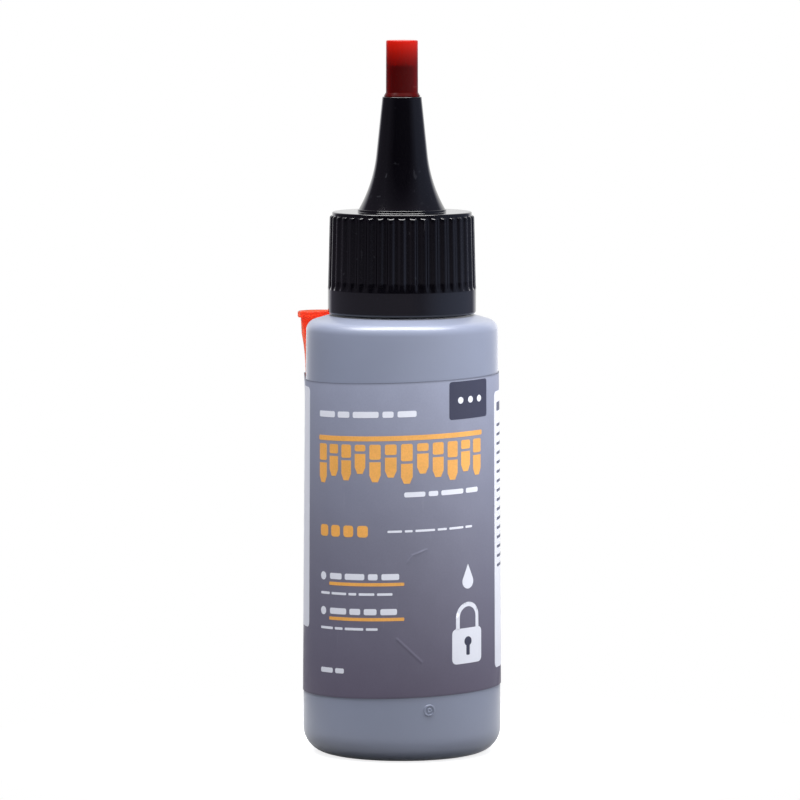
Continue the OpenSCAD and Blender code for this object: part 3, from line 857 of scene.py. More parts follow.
class LUBRICANT_OT_bottle(PieceOperator):
    """Make the blown bottle with its threaded neck, recessed base and moulded ring"""

    bl_idname = "lubricant.bottle"
    bl_label = "Bottle"

    def execute(self, context):
        bottle = self.settings.bottle
        near = 0.01 * MM
        turns = even_turns(BODY_COLUMNS)
        outline, rim_row = self.outline(bottle)
        radius, height = columns_of(outline, turns)
        outside = np.arange(len(height)) < rim_row
        radius += self.unevenness(bottle, height, turns) * outside[:, None]
        on_neck = outside & (np.abs(radius[:, 0] - bottle.neck_radius) < near)
        start = neck_thread_start(bottle)
        thread = thread_share(bottle, height, turns, start, 0, bottle.thread_turns)
        radius += bottle.thread_height * thread * on_neck[:, None]
        mesh = solid_mesh("bottle_body", revolved(radius, height, turns))
        self.add_mark(mesh, bottle)
        finish = {
            "Colour": opaque(bottle.plastic),
            "Roughness": 0.35,
            "Swing": 0.08,
            "Drift": 0.08,
            "Grain scale": 900.0,
        }
        gloss = {"Specular IOR Level": 1.0, "Sheen Weight": 0.55, "Sheen Roughness": 0.3}
        marks = (0.01, srgb(208, 211, 220))
        material = plastic_material("silver_grey_plastic", finish, gloss, marks, relief=0.04)
        add_piece(mesh, material, "bottle", "bottle")
        return {"FINISHED"}

    def outline(self, bottle):
        """Outline from under the base, up the outside, over the rim and down inside, and the rim's row."""
        neck = bottle.neck_radius
        bore = neck - bottle.neck_wall
        rim = BOTTLE_HIGH.z
        shoulder = bottle.shoulder_height + bottle.shoulder_rise
        bead = bottle.shoulder_height + bottle.bead_height
        bead_half = bottle.bead_radius - neck
        outside = filleted([
            *body_corners(bottle, 0),
            (neck, shoulder, NECK_EDGE),
            (neck, bead - bead_half, SOFT_EDGE),
            (bottle.bead_radius, bead, BEAD_EDGE),
            (neck, bead + bead_half, SOFT_EDGE),
            (neck, rim, NECK_EDGE),
            (bore, rim, SOFT_EDGE),
            (bore, shoulder, 0),
        ])
        inside = filleted([*body_corners(bottle, bottle.wall), (bore, shoulder - bottle.wall, 0)])
        outside = self.finer(outside, neck)
        rim_row = max(range(len(outside)), key=lambda k: outside[k][1])
        return outside + spaced(inside, COARSE_STEP)[::-1], rim_row

    def finer(self, outline, neck):
        """Outline with short steps on the neck, for its thread, and longer ones on the body."""
        body_step = 1.2 * MM
        thread_step = 0.22 * MM
        foot = next(k for k, point in enumerate(outline) if abs(point[0] - neck) < MERGE)
        return spaced(outline[: foot + 1], body_step)[:-1] + spaced(outline[foot:], thread_step)

    def unevenness(self, bottle, height, turns):
        """Slow swell of the blown wall, none at the foot ring and the neck."""
        still, full, fade = 3 * MM, 9 * MM, 4 * MM
        top = bottle.shoulder_height
        wave = 10 * MM
        low = smooth_step(still, full, height)
        high = 1 - smooth_step(top - fade, top, height)
        upward = height[:, None] / wave
        swell = np.sin(2 * turns + 0.9 * upward) + 0.7 * np.sin(3 * turns - 1.3 * upward + 1.0)
        # A share of the two waves, so that their sum stays within the unevenness
        share = 0.55 * low * high
        return bottle.unevenness * swell * share[:, None]

    def add_mark(self, mesh, bottle):
        """Joins a small raised ring with a dot in it to the body, near the foot."""
        line = 0.2 * MM
        dot = 0.28 * MM
        flatness = 0.9
        wall = side_radius(bottle, bottle.mark_height)
        facing = math.asin(bottle.mark_aside / wall) - math.pi / 2
        out = Vector((math.cos(facing), math.sin(facing), 0))
        along = Vector((-out.y, out.x, 0))
        middle = out * wall + Vector((0, 0, bottle.mark_height))
        to_wall = Matrix.Translation(middle) @ Matrix((along, (0, 0, 1), out)).transposed().to_4x4()
        around = even_turns(MARK_ROWS)
        work = bmesh.new()
        work.from_mesh(mesh)
        for ring in (bottle.mark_radius, dot):
            rows = np.repeat((ring + line * np.cos(around))[:, None], MARK_COLUMNS, axis=1)
            grid = revolved(rows, flatness * line * np.sin(around), even_turns(MARK_COLUMNS))
            points = [work.verts.new(to_wall @ Vector(p)) for p in grid.reshape(-1, 3)]
            for quad in grid_faces(MARK_ROWS, MARK_COLUMNS, True):
                work.faces.new([points[k] for k in quad])
        finished(work, mesh)


class LUBRICANT_OT_graphite(PieceOperator):
    """Make the graphite filling with its uneven dipped top"""

    bl_idname = "lubricant.graphite"
    bl_label = "Graphite"

    def execute(self, context):
        bottle = self.settings.bottle
        side_step = 2 * MM
        top_step = 0.5 * MM
        inset = bottle.wall + bottle.fill_gap
        top = FILL_HIGH.z
        edge = side_radius(bottle, top) - inset
        corners = body_corners(bottle, inset)[:-2]
        outline = spaced(filleted([*corners, (edge, top, 0)]), side_step)
        surface = spaced([(edge, top), (0, top - bottle.fill_dip)], top_step)[1:]
        grid = turned(outline + surface, SMALL_COLUMNS)
        loose = grid[len(outline) :]
        loose[..., 2] -= self.hollows(loose[..., 0], loose[..., 1], edge)
        loose[-1, :, 2] = loose[-1, :, 2].mean()
        mesh = solid_mesh("graphite_fill", grid)
        add_piece(mesh, graphite_material(bottle.graphite), "bottle", "graphite_charge")
        return {"FINISHED"}

    def hollows(self, x, y, edge):
        """How far the loose top lies below its smooth dip, none at the wall."""
        depth = 0.25 * MM
        steepness = 6
        # The waves stay within 2 of zero, so that the top never rises above its dip
        waves = np.sin(900 * x + 2) * np.sin(1100 * y) + np.sin(2100 * x + 1300 * y)
        inward = 1 - np.hypot(x, y) / edge
        return depth * (2 + waves) * np.minimum(1, steepness * inward)


class LUBRICANT_OT_seal(PieceOperator):
    """Give the neck seal its foam"""

    bl_idname = "lubricant.seal"
    bl_label = "Neck seal"

    def execute(self, context):
        seal = frame["nodes"]["neck_seal"]
        seal.data.materials.clear()
        seal.data.materials.append(foam_material(self.settings.bottle.foam))
        return {"FINISHED"}


class LUBRICANT_OT_spout_cap(PieceOperator):
    """Make the ribbed screw cap with its flared spout, outlet, throat and inner thread"""

    bl_idname = "lubricant.spout_cap"
    bl_label = "Spout cap"

    def execute(self, context):
        bottle = self.settings.bottle
        cap = self.settings.cap
        turns = self.rib_turns(cap)
        outline, skirt, bore = self.outline(cap)
        radius, height = columns_of(outline, turns)
        radius[skirt] += self.ribs(cap, height[skirt], turns)
        start = neck_thread_start(bottle) - bottle.thread_pitch / 2
        first = bottle.thread_turns - cap.thread_turns
        thread = thread_share(bottle, height[bore], turns, start, first, bottle.thread_turns)
        radius[bore] -= cap.thread_height * thread
        mesh = solid_mesh("ribbed_spout_cap", revolved(radius, height, turns), closed=True)
        finish = {
            "Colour": opaque(cap.black),
            "Roughness": 0.1,
            "Swing": 0.05,
            "Drift": 0.3,
            "Grain scale": 1400.0,
        }
        gloss = {"Specular IOR Level": 1.0}
        marks = (0.1, srgb(110, 112, 120))
        material = plastic_material("black_cap_plastic", finish, gloss, marks, relief=0.03)
        add_piece(mesh, material, "spout_cap", "spout_cap")
        return {"FINISHED"}

    def rib_turns(self, cap):
        """Turns of the columns, closer together on the flanks of each rib."""
        half = (0.0, 0.08, 0.15, 0.2, 0.25, 0.3, 0.35, 0.42)
        phases = np.array([*half, 0.5, *[1 - p for p in half[:0:-1]]])
        ribs = np.arange(cap.rib_count)[:, None]
        return ((ribs + phases) * FULL_TURN / cap.rib_count).ravel()

    def ribs(self, cap, height, turns):
        """How far the ribs stand out, with rounded upper ends and grooves that slope out at the foot."""
        crest_half, root_half = 0.15, 0.85
        phase = np.mod(turns * cap.rib_count / FULL_TURN, 1)
        crest = 1 - smooth_step(crest_half, root_half, 2 * np.minimum(phase, 1 - phase))
        top = SEAL_HIGH.z + cap.top_thickness - cap.top_edge - cap.rib_inset
        from_top = np.clip((top - height) / cap.rib_run, 0, 1)
        rounded = np.sqrt(1 - (1 - from_top) ** 2)
        slope = np.clip(1 - (height - height[0]) / cap.rib_ramp, 0, 1)
        ramp = (cap.band_radius - cap.skirt_radius) * slope
        return np.maximum(cap.rib_depth * rounded[:, None] * crest, ramp[:, None])

    def spout_radius(self, cap, height):
        return cap.spout_tip + math.tan(cap.cone_angle) * (TIP_LOW.z - height)

    def flare(self, cap, foot):
        """Arc of the spout's flared foot, which runs on into the cone without a kink."""
        top_height = foot.imag + cap.flare_height
        top = complex(self.spout_radius(cap, top_height), top_height)
        chord = foot - top
        across = cmath.rect(1, cap.cone_angle)
        arc_radius = abs(chord) ** 2 / (2 * (chord * across.conjugate()).real)
        centre = top + arc_radius * across
        turn = cmath.phase((top - centre) / (foot - centre))
        steps = 28
        arc = [centre + (foot - centre) * cmath.exp(1j * turn * k / steps) for k in range(steps + 1)]
        return [(p.real, p.imag) for p in arc]

    def outline(self, cap):
        """Closed outline of the cap, and the rows of its ribbed skirt and of its bore."""
        seam = 0.06 * MM
        bore_end = 0.2 * MM
        thread_step = 0.24 * MM
        crown_step = 0.35 * MM
        below_ends = 1 * MM
        cone_length = 8 * MM
        end_rows, middle_rows = 7, 14
        foot = CAP_LOW.z
        under = SEAL_HIGH.z
        top = under + cap.top_thickness
        band_top = foot + cap.band_height
        edge_foot = top - cap.top_edge
        rib_top = edge_foot - cap.rib_inset
        edge_radius = cap.skirt_radius - cap.skirt_draft
        bore = cap.skirt_bore
        step_top = top + cap.step_height
        flare_foot = complex(self.spout_radius(cap, step_top) + cap.flare_spread, step_top)
        step = flare_foot.real + cap.step_width
        ledge = TIP_LOW.z
        cone_foot = ledge - cone_length
        end = CAP_HIGH.z
        roof = ledge - cap.spout_wall
        throat_end = roof - (self.spout_radius(cap, roof) - cap.spout_wall - cap.outlet_bore)
        band = filleted([
            (bore, foot, 0),
            (cap.band_radius, foot, cap.band_edge),
            (cap.band_radius, band_top - seam, 0),
        ])
        ends = np.linspace(0, cap.rib_run, end_rows)
        middle = np.linspace(band_top + cap.rib_ramp, rib_top - below_ends, middle_rows)
        heights = [band_top, *middle, *(rib_top - ends[::-1]), edge_foot]
        draft = cap.skirt_draft / (edge_foot - band_top)
        skirt = [(cap.skirt_radius - draft * (z - band_top), z) for z in heights]
        crown = filleted([
            (edge_radius, edge_foot, 0),
            (edge_radius, top, cap.top_edge),
            (step, top, FINE_EDGE),
            (step, step_top, FINE_EDGE),
            (flare_foot.real, step_top, 0),
        ])
        spout = filleted([
            (self.spout_radius(cap, cone_foot), cone_foot, 0),
            (cap.spout_tip, ledge, LEDGE_EDGE),
            (cap.outlet_radius, ledge, HAIR_EDGE),
            (cap.outlet_radius, end, ROUND_EDGE),
            (cap.outlet_bore, end, FINE_EDGE),
            (cap.outlet_bore, roof, SOFT_EDGE),
            (self.spout_radius(cap, throat_end) - cap.spout_wall, throat_end, ROUND_EDGE),
            (self.spout_radius(cap, under) - cap.spout_wall, under, SOFT_EDGE),
            (bore, under, 0),
        ])
        inside = spaced([(bore, under - bore_end), (bore, foot + bore_end)], thread_step)
        flare = self.flare(cap, flare_foot)
        upper = spaced(crown, crown_step)[1:-1] + flare + spaced(spout, COARSE_STEP)
        outline = band + skirt + upper + inside
        skirt_rows = slice(len(band), len(band) + len(skirt))
        bore_rows = slice(len(outline) - len(inside), len(outline))
        return outline, skirt_rows, bore_rows


class LUBRICANT_OT_tip_cap(PieceOperator):
    """Make the translucent push-on cap of the outlet"""

    bl_idname = "lubricant.tip_cap"
    bl_label = "Tip cap"

    def execute(self, context):
        cap = self.settings.cap
        row_step = 0.8 * MM
        shade_below = 1.2 * MM
        foot = TIP_LOW.z
        top = TIP_HIGH.z
        side = cap.tip_bore + cap.tip_wall
        bore_top = foot + cap.tip_bore_depth
        outline = filleted([
            (0, top, 0),
            (side - cap.tip_draft, top, cap.tip_edge),
            (side, foot + cap.tip_lip, SOFT_EDGE),
            (TIP_HIGH.x, foot + cap.tip_lip / 4, LIP_EDGE),
            (TIP_HIGH.x, foot, FINE_EDGE),
            (cap.tip_bore, foot, FINE_EDGE),
            (cap.tip_bore, CAP_HIGH.z, ROUND_EDGE),
            (cap.tip_bore + CAP_HIGH.z - bore_top, bore_top, ROUND_EDGE),
            (0, bore_top, 0),
        ])
        mesh = solid_mesh("push_on_tip_cap", turned(spaced(outline, row_step), SMALL_COLUMNS))
        finish = {"Colour": opaque(cap.red), "Roughness": 0.3, "Swing": 0.06, "Drift": 0.1}
        gloss = {"Transmission Weight": 0.65, "IOR": 1.25}
        marks = (0.04, srgb(240, 120, 110))
        # Painted shade: below its solid top the cap turns deep red, standing in for the dark outlet that
        # shows through it
        painted_shade = (cap.deep_red, bore_top - shade_below, top)
        material = plastic_material("translucent_red", finish, gloss, marks, relief=0.12, painted_shade=painted_shade)
        add_piece(mesh, material, "tip_cap", "tip_cap")
        return {"FINISHED"}


class LUBRICANT_OT_nozzle(PieceOperator):
    """Make the extension nozzle that is stored behind the label"""

    bl_idname = "lubricant.nozzle"
    bl_label = "Extension nozzle"

    def execute(self, context):
        nozzle = self.settings.nozzle
        row_step = 2.5 * MM
        flare_rows = 14
        waist = nozzle.hub_length + nozzle.flare_length
        flare = np.linspace(nozzle.hub_length, waist, flare_rows)[1:]
        hub = filleted([
            (nozzle.socket_radius, 0, 0),
            (nozzle.rim_radius, 0, ROUND_EDGE),
            (nozzle.rim_radius, -nozzle.rim_height, ROUND_EDGE),
            (nozzle.hub_radius, -nozzle.rim_height, STEM_EDGE),
            (nozzle.hub_foot, -nozzle.hub_length, 0),
        ])
        stem = [(nozzle_radius(nozzle, depth), -depth) for depth in flare]
        bore = filleted([
            (nozzle_radius(nozzle, waist), -waist, 0),
            (nozzle.tip_radius, -nozzle.length, STEM_EDGE),
            (nozzle.tip_bore, -nozzle.length, HAIR_EDGE),
            (nozzle.waist_radius - nozzle.wall, -waist, 0),
            (nozzle.socket_radius, -nozzle.socket_depth, 0),
            (nozzle.socket_radius, 0, 0),
        ])
        outline = spaced(hub[1:] + stem[:-1] + bore[:-1], row_step)
        upright = Vector((0, 0, 1)).rotation_difference(NOZZLE_AXIS).to_matrix().to_4x4()
        place = Matrix.Translation(nozzle_mouth(nozzle)) @ upright
        mesh = solid_mesh("spare_nozzle", turned(outline, NOZZLE_COLUMNS), closed=True)
        mesh.transform(place)
        finish = {"Colour": opaque(nozzle.red), "Roughness": 0.2, "Swing": 0.08, "Drift": 0.06}
        gloss = {"Transmission Weight": 0.85, "IOR": 1.15}
        marks = (0.1, srgb(255, 150, 130))
        material = plastic_material("orange_red_plastic", finish, gloss, marks, relief=0.03)
        add_piece(mesh, material, "extension_nozzle", "extension_nozzle")
        return {"FINISHED"}


class LUBRICANT_OT_label(PieceOperator):
    """Make the label's film, which follows the wall and tents over the nozzle"""

    bl_idname = "lubricant.label"
    bl_label = "Label film"

    def execute(self, context):
        label = self.settings.label
        # The loops are worked out again, because the settings may have changed since
        label_loop.cache_clear()
        low, high = LABEL_LOW.z, LABEL_HIGH.z
        # Rows lie closer together at the creases, in these spans of millimetres
        crease_spans = ((17.4, 23.8), (35.6, 39.4))
        crease_step = 0.15
        outer_rows, inner_rows = 100, 24
        creased = [np.arange(*span, crease_step) * MM for span in crease_spans]
        heights = np.unique(np.concatenate([np.linspace(low, high, outer_rows), *creased]))
        outer = [self.row(label, z, label.film) for z in heights]
        inner = [self.row(label, z, 0) for z in np.linspace(high, low, inner_rows)]
        mesh = solid_mesh("label_film", np.stack(outer + inner), closed=True)
        add_piece(mesh, film_material(label), "bottle", "wrap_label")
        return {"FINISHED"}

    def row(self, label, height, out):
        """One loop of points, closer together where the front is creased."""
        first, last = -1.8 * MM, 5.4 * MM
        creased_columns, plain_columns = 60, 340
        round_it = loop_at(height)[0][-1]
        creased = np.linspace(first, last, creased_columns)
        rest = np.linspace(last, round_it + first, plain_columns)[1:-1]
        return label_points(label, np.concatenate([creased, rest]), height, out)


class LUBRICANT_OT_print(PieceOperator):
    """Print the label: gold bars, pale lines, a dark tab and white side panels"""

    bl_idname = "lubricant.print"
    bl_label = "Label print"

    def execute(self, context):
        label = self.settings.label
        # The loops are worked out again, because the settings may have changed since
        label_loop.cache_clear()
        white = ink_material("white_ink", label.white, 0.06)
        gold = ink_material("gold_ink", label.gold, 0.3)
        dark = ink_material("dark_ink", label.dark, 0.12)
        grey = ink_material("grey_ink", label.grey, 0.1)
        self.add_print("side_panels", self.panels(label), white, 1)
        self.add_print("gold_print", self.gold_shapes(), gold, 1)
        self.add_print("white_print", self.white_shapes(), white, 1)
        self.add_print("dark_print", self.dark_shapes(), dark, 1)
        self.add_print("overprint", self.overprint_shapes(), dark, 2)
        self.add_print("tab_print", self.tab_shapes(), white, 2)
        self.add_print("small_print", self.panel_lines(label), grey, 2)
        return {"FINISHED"}

    # Shapes of the print are outlines in millimetres, round from the front and up from the foot

    def bar(self, left, low, right, high, corner):
        """Outline of a bar with rounded corners."""
        corner_steps = 4
        points = []
        for x, z, start in (
            (right - corner, high - corner, 0),
            (left + corner, high - corner, 90),
            (left + corner, low + corner, 180),
            (right - corner, low + corner, 270),
        ):
            for step in range(corner_steps + 1):
                turn = math.radians(start + 90 * step / corner_steps)
                points.append((x + corner * math.cos(turn), z + corner * math.sin(turn)))
        return points

    def disc(self, x, z, radius):
        sides = 28
        return [(x + radius * math.cos(t), z + radius * math.sin(t)) for t in even_turns(sides)]

    def drop(self, x, z, radius, tall):
        """Outline of a drop: a round foot and two straight sides up to a point."""
        foot_points = 26
        lean = math.asin(radius / tall)
        turns = np.linspace(lean, -math.pi - lean, foot_points)
        return [(x, z + tall), *[(x + radius * math.cos(t), z + radius * math.sin(t)) for t in turns]]

    def bar_line(self, left, low, tall, gap, widths):
        """A line of short bars of unlike widths."""
        corner = min(0.3, tall / 3)
        bars = []
        for width in widths:
            bars.append(self.bar(left, low, left + width, low + tall, corner))
            left += width + gap
        return bars

    def gold_shapes(self):
        """A row of pointed lock pins of unlike lengths under one bar, four tiles and two underlines."""
        first, pitch, width = -17.4, 2.87, 2.1
        shelf, gap, pin_tall = 57.8, 0.45, 3.6
        drops = (3.0, 1.7, 2.4, 1.2, 2.7, 1.9, 3.1, 1.4, 2.2, 2.9, 1.6, 2.5)
        shapes = [self.bar(-17.6, 58.4, 16.6, 59.3, 0.3)]
        for k, drop in enumerate(drops):
            left = first + pitch * k
            shear = shelf - drop
            shapes.append(self.bar(left, shear, left + width, shelf, 0.35))
            shapes.append(self.pin(left, shear - gap, left + width, pin_tall))
        tile_first, tile_pitch, tile_low, tile = -17.0, 2.9, 41.1, 2.1
        for k in range(4):
            left = tile_first + tile_pitch * k
            shapes.append(self.bar(left, tile_low, left + tile, tile_low + tile, 0.55))
        shapes += [self.bar(-14.6, z, 0.4, z + 0.6, 0.15) for z in (32.3, 26.0)]
        return shapes

    def pin(self, left, top, right, tall):
        """A pin with a blunt lower point."""
        blunt = (right - left) / 4
        foot = top - tall
        slope = foot + 1.2
        left_side = [(left, top), (left, slope), (left + blunt, foot)]
        right_side = [(right - blunt, foot), (right, slope), (right, top)]
        return left_side + right_side

    def white_shapes(self):
        """Pale lines of bars, two bullets, a drop and a padlock."""
        # Left end, foot, height, gap and widths of each line's bars
        lines = (
            (-17.4, 62.6, 1.1, 0.7, (4.2, 2.6, 5.0, 2.0, 3.4)),
            (0.4, 48.2, 0.9, 0.6, (3.8, 1.8, 4.6, 3.0)),
            (-2.6, 41.9, 0.4, 0.5, (2.6, 1.4, 3.6, 1.8, 3.0, 1.6)),
            (-14.4, 33.4, 1.1, 0.7, (2.8, 4.0, 1.8, 3.2)),
            (-16.9, 30.6, 0.45, 0.5, (2.4, 3.4, 1.6, 3.0, 2.8)),
            (-14.4, 27.1, 1.1, 0.7, (3.8, 2.2, 2.4, 3.0)),
            (-16.9, 24.3, 0.45, 0.5, (3.2, 1.8, 3.8, 2.2)),
            (-16.9, 16.4, 0.9, 0.6, (3.2, 2.0)),
        )
        shapes = [bar for line in lines for bar in self.bar_line(*line)]
        shapes += [self.disc(-16.2, z, 0.75) for z in (33.9, 27.6)]
        shapes.append(self.bar(9.4, 17.4, 16.4, 23.8, 0.9))
        shapes += self.arch(12.9, 23.6, 1.9, 2.7, 2.2)
        shapes.append(self.drop(12.9, 32.2, 1.3, 3.2))
        return shapes

    def arch(self, x, z, inner, outer, legs):
        """A shackle: two legs and a half round, as short pieces that join."""
        arc_points = 17
        turns = np.linspace(0, math.pi, arc_points)
        centre_z = z + legs
        rows = [((x + inner, z), (x + outer, z))]
        rows += [
            tuple((x + r * math.cos(t), centre_z + r * math.sin(t)) for r in (inner, outer)) for t in turns
        ]
        rows.append(((x - inner, z), (x - outer, z)))
        return [[a[0], a[1], b[1], b[0]] for a, b in zip(rows, rows[1:])]

    def dark_shapes(self):
        """A plain tab that hangs from the upper edge."""
        return [self.bar(8.8, 61.6, 18.2, 68.4, 0.5)]

    def tab_shapes(self):
        """Three small discs on the dark tab."""
        return [self.disc(x, 65.0, 0.6) for x in (11.2, 13.5, 15.8)]

    def overprint_shapes(self):
        """A keyhole on the padlock."""
        return [self.disc(12.9, 21.4, 0.85), self.bar(12.5, 18.9, 13.3, 21.2, 0.2)]

    def panels(self, label):
        """White panels that start at both limbs, inset from the label's edges."""
        edge = label.front_half / MM
        right_panel = self.bar(edge, 15.4, edge + 29.0, 65.6, 1.0)
        left_panel = self.bar(-edge - 19.0, 24.0, -edge, 67.6, 1.0)
        return [right_panel, left_panel]

    def panel_lines(self, label):
        """Rows of small bars on the panels, and a heading block above those on the right."""
        edge = label.front_half / MM
        right_start = edge + 1.4
        left_start = -edge - 18.0
        pitch, tall, gap = 1.7, 0.5, 0.5
        widths = ((5.2, 3.1, 7.4, 4.4, 4.0), (3.6, 6.2, 2.4, 5.6, 3.2), (6.6, 2.8, 4.2, 5.0, 3.6))
        shapes = [self.bar(right_start, 62.0, edge + 7.6, 63.6, 0.3)]
        # Left end and foot of each panel's first row, its number of rows, and the bars in a row
        for left, first, rows, bars in ((right_start, 59.2, 16, 5), (left_start, 63.0, 8, 2)):
            for k in range(rows):
                row_widths = widths[k % len(widths)][:bars]
                shapes += self.bar_line(left, first - pitch * k, tall, gap, row_widths)
        return shapes

    def add_print(self, name, shapes, material, layer):
        """Lays thin flat shapes on the film as one piece, cut finely enough to follow its curve."""
        label = self.settings.label
        round_step = 0.5 * MM
        up_step = 4.0 * MM
        top = label.film + label.ink * layer
        # A layer is thicker than it stands out, so that it sinks a little into what it lies on
        thickness = 1.6 * label.ink
        low = top - thickness
        work = bmesh.new()
        for shape in shapes:
            lower = [work.verts.new((x * MM, z * MM, low)) for x, z in shape]
            upper = [work.verts.new((x * MM, z * MM, top)) for x, z in shape]
            work.faces.new(upper)
            work.faces.new(lower[::-1])
            for k in range(len(shape)):
                after = (k + 1) % len(shape)
                work.faces.new((lower[k], lower[after], upper[after], upper[k]))
        bmesh.ops.remove_doubles(work, verts=work.verts, dist=MERGE)
        self.cut(work, 0, round_step)
        self.cut(work, 1, up_step)
        bmesh.ops.triangulate(work, faces=[f for f in work.faces if len(f.verts) > 4])
        for vert in work.verts:
            around, height, out = vert.co
            vert.co = label_points(label, np.array(around), height, out)
        mesh = bpy.data.meshes.new(name)
        add_piece(finished(work, mesh), material, "bottle")

    def cut(self, work, axis, step):
        """Cuts every face across one axis at even steps."""
        across = Vector((axis == 0, axis == 1, 0))
        values = [v.co[axis] for v in work.verts]
        for k in range(math.ceil(min(values) / step), math.floor(max(values) / step) + 1):
            geometry = [*work.verts, *work.edges, *work.faces]
            place = across * k * step
            bmesh.ops.bisect_plane(work, geom=geometry, dist=MERGE, plane_co=place, plane_no=across)


class LUBRICANT_OT_stage(PieceOperator):
    """Make the white floor, the studio light and the camera"""

    bl_idname = "lubricant.stage"
    bl_label = "Stage"

    def execute(self, context):
        stage = self.settings.stage
        self.add_floor(stage)
        self.light_world(stage)
        # The lamp aims straight back and down, which keeps its long side across the view
        lamp_place = Vector((-0.06, -0.06, 0.777))
        lamp_aim = Vector((lamp_place.x, 0, stage.aim_height))
        lamp_size = (1.0, 0.34)
        self.add_lamp("top_softbox", lamp_place, lamp_aim, lamp_size, stage.top_power)
        self.add_camera(context, stage)
        context.scene.view_settings.view_transform = "Standard"
        return {"FINISHED"}

    def seen(self, tree):
        """1 for rays from the camera, from gloss or through a clear piece, and 0 for the rest."""
        path = add_node(tree, "LightPath").outputs
        bright = maths(tree, "MAXIMUM", path["Is Camera Ray"], path["Is Glossy Ray"])
        return maths(tree, "MAXIMUM", bright, path["Is Transmission Ray"])

    def add_floor(self, stage):
        """A round floor whose outer part fades into the white background."""
        outline = [(stage.floor_radius, 0), (stage.floor_radius / 2, 0), (0, 0)]
        grid = turned(outline, SMALL_COLUMNS)
        faces = grid_faces(len(outline), SMALL_COLUMNS, False)
        mesh = bpy.data.meshes.new("floor")
        mesh.from_pydata(grid.reshape(-1, 3).tolist(), [], faces.tolist())
        floor = bpy.data.objects.new("floor", mesh)
        bpy.context.scene.collection.objects.link(floor)
        mesh.materials.append(self.floor_material(stage))

    def floor_material(self, stage):
        """Matt near the bottle and plain white far off where it is seen, and dim to other rays."""
        material, tree = empty_material("white_floor")
        from_middle = add_node(tree, "VectorMath", operation="LENGTH")
        tree.links.new(object_place(tree), from_middle.inputs[0])
        fade_start = 0.3 * stage.floor_radius
        far = ranged(tree, from_middle.outputs["Value"], fade_start, stage.floor_radius)
        matt = add_node(tree, "BsdfDiffuse", {"Color": opaque(stage.floor)}).outputs["BSDF"]
        camera = add_node(tree, "LightPath").outputs["Is Camera Ray"]
        strength = maths(tree, "MULTIPLY", camera, stage.floor_lift)
        lift = add_node(tree, "Emission", {"Strength": strength}).outputs["Emission"]
        near = add_node(tree, "AddShader")
        tree.links.new(matt, near.inputs[0])
        tree.links.new(lift, near.inputs[1])
        white = add_node(tree, "Emission", {"Strength": 1.0}).outputs["Emission"]
        shown = self.mix_shader(tree, far, near.outputs["Shader"], white)
        bounce = add_node(tree, "BsdfDiffuse", {"Color": opaque(stage.floor_bounce)}).outputs["BSDF"]
        both = self.mix_shader(tree, self.seen(tree), bounce, shown)
        add_node(tree, "OutputMaterial", {"Surface": both})
        return material

    def mix_shader(self, tree, share, first, second):
        node = add_node(tree, "MixShader", {"Fac": share})
        tree.links.new(first, node.inputs[1])
        tree.links.new(second, node.inputs[2])
        return node.outputs["Shader"]

    def light_world(self, stage):
        """Lights the world with a room for what is seen and a soft fill for the rest."""
        world = bpy.data.worlds.new("white_studio")
        bpy.context.scene.world = world
        world.use_nodes = True
        tree = world.node_tree
        tree.nodes.clear()
        direction = add_node(tree, "TexCoord").outputs["Generated"]
        parts = add_node(tree, "SeparateXYZ", {"Vector": direction}).outputs
        shown = self.room(tree, direction, parts, stage)
        fill = self.soft_fill(tree, direction, parts, stage)
        add_node(tree, "OutputWorld", {"Surface": self.mix_shader(tree, self.seen(tree), fill, shown)})

    def room(self, tree, direction, parts, stage):
        """White for the camera, and in gloss a white cove behind a dim room."""
        white = (1, 1, 1, 1)
        left_tint = (1, 0.94, 1.2, 1)
        right_tint = (0.74, 0.84, 1.2, 1)
        # The cove leans forward overhead
        cove_way = (0.0, 1.0, 0.35)
        cove = ranged(tree, reach_along(tree, direction, cove_way), 0.72, 0.92)
        sides = ranged(tree, parts["Y"], -0.8, -0.3, stage.room_level, stage.side_level)
        sides = maths(tree, "MULTIPLY", sides, ranged(tree, parts["X"], -1.0, 1.0, 0.6, 1.6))
        table = ranged(tree, parts["Z"], 0.0, -0.06, 0.0, stage.table_level)
        table = maths(tree, "MULTIPLY", table, ranged(tree, parts["X"], 0.5, 1.0, 1.0, 2.4))
        path = add_node(tree, "LightPath").outputs
        straight = maths(tree, "MAXIMUM", path["Is Camera Ray"], path["Is Transmission Ray"])
        bright = maths(tree, "MAXIMUM", cove, straight)
        strength = maths(tree, "MAXIMUM", maths(tree, "MAXIMUM", sides, table), bright)
        cool = mixed(tree, ranged(tree, parts["X"], 0.2, 0.9), left_tint, right_tint)
        values = {"Color": mixed(tree, bright, cool, white), "Strength": strength}
        return add_node(tree, "Background", values).outputs["Background"]

    def soft_fill(self, tree, direction, parts, stage):
        """Light for matt surfaces, stronger from the right and above all from below on the right."""
        tint = (0.96, 0.97, 1, 1)
        least = 0.05
        sloped = reach_along(tree, direction, (0.78, 0.0, -0.2))
        low_right = maths(tree, "MULTIPLY", maths(tree, "MULTIPLY", parts["X"], parts["Z"]), -1.0)
        uneven = maths(tree, "ADD", sloped, low_right)
        strength = maths(tree, "MAXIMUM", maths(tree, "ADD", uneven, stage.fill_level), least)
        values = {"Color": tint, "Strength": strength}
        return add_node(tree, "Background", values).outputs["Background"]

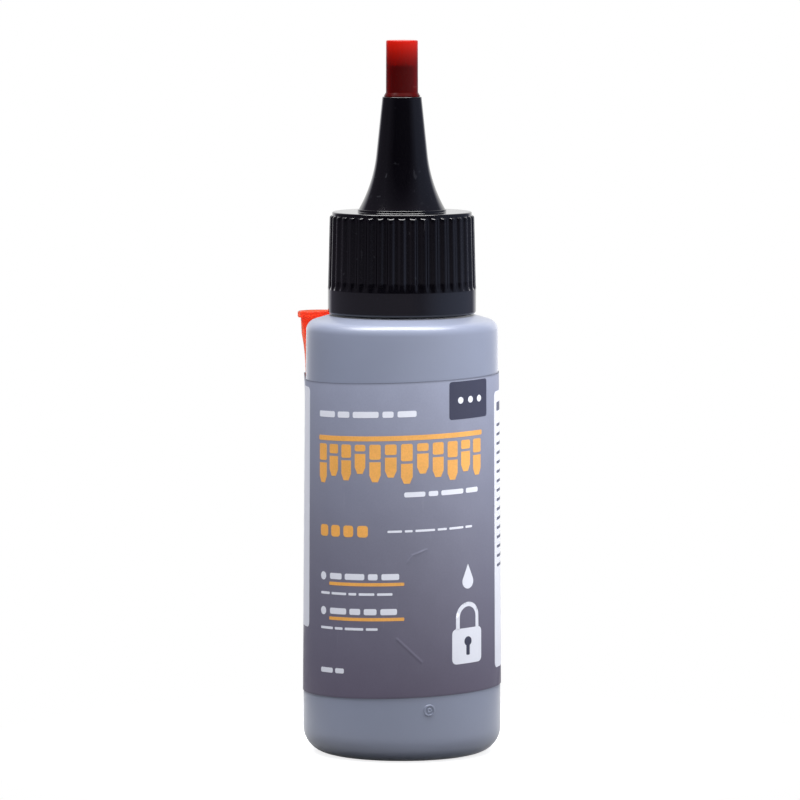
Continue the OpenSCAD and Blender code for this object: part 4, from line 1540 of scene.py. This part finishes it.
    def add_lamp(self, name, place, aim, size, power):
        lamp = bpy.data.lights.new(name, "AREA")
        lamp.shape = "RECTANGLE"
        lamp.size, lamp.size_y = size
        lamp.energy = power
        made = bpy.data.objects.new(name, lamp)
        made.location = place
        made.rotation_euler = (aim - place).to_track_quat("-Z", "Y").to_euler()
        made.visible_camera = False
        bpy.context.scene.collection.objects.link(made)

    def add_camera(self, context, stage):
        lens = bpy.data.cameras.new("camera")
        lens.lens = stage.lens
        lens.sensor_width = 36.0
        lens.clip_start = 0.01
        camera = bpy.data.objects.new("camera", lens)
        aim = Vector((stage.aim_aside, 0, stage.aim_height))
        ahead = Vector((0, math.cos(stage.pitch), -math.sin(stage.pitch)))
        camera.location = aim - stage.distance * ahead
        camera.rotation_euler = ahead.to_track_quat("-Z", "Y").to_euler()
        context.scene.collection.objects.link(camera)
        context.scene.camera = camera


PIECE_OPERATORS = (
    LUBRICANT_OT_bottle,
    LUBRICANT_OT_graphite,
    LUBRICANT_OT_seal,
    LUBRICANT_OT_spout_cap,
    LUBRICANT_OT_tip_cap,
    LUBRICANT_OT_nozzle,
    LUBRICANT_OT_label,
    LUBRICANT_OT_print,
    LUBRICANT_OT_stage,
)


class LUBRICANT_PT_sidebar(bpy.types.Panel):
    """Lists the operators and what they use"""

    bl_idname = "LUBRICANT_PT_sidebar"
    bl_label = "Lubricant bottle"
    bl_space_type = "VIEW_3D"
    bl_region_type = "UI"
    bl_category = "Bottle"

    def draw(self, context):
        for operator in PIECE_OPERATORS:
            self.layout.operator(operator.bl_idname)
        for name in LubricantBottle.__annotations__:
            box = self.layout.box()
            group = getattr(context.scene.lubricant, name)
            for setting in type(group).__annotations__:
                box.prop(group, setting)


CLASSES = (
    BottleSettings,
    CapSettings,
    NozzleSettings,
    LabelSettings,
    StageSettings,
    LubricantBottle,
    *PIECE_OPERATORS,
    LUBRICANT_PT_sidebar,
)


def register():
    for each in CLASSES:
        bpy.utils.register_class(each)
    bpy.types.Scene.lubricant = PointerProperty(type=LubricantBottle)


def unregister():
    del bpy.types.Scene.lubricant
    for each in reversed(CLASSES):
        bpy.utils.unregister_class(each)


def main():
    register()
    for operator in PIECE_OPERATORS:
        group, name = operator.bl_idname.split(".")
        getattr(getattr(bpy.ops, group), name)()


if __name__ == "__main__":
    main()
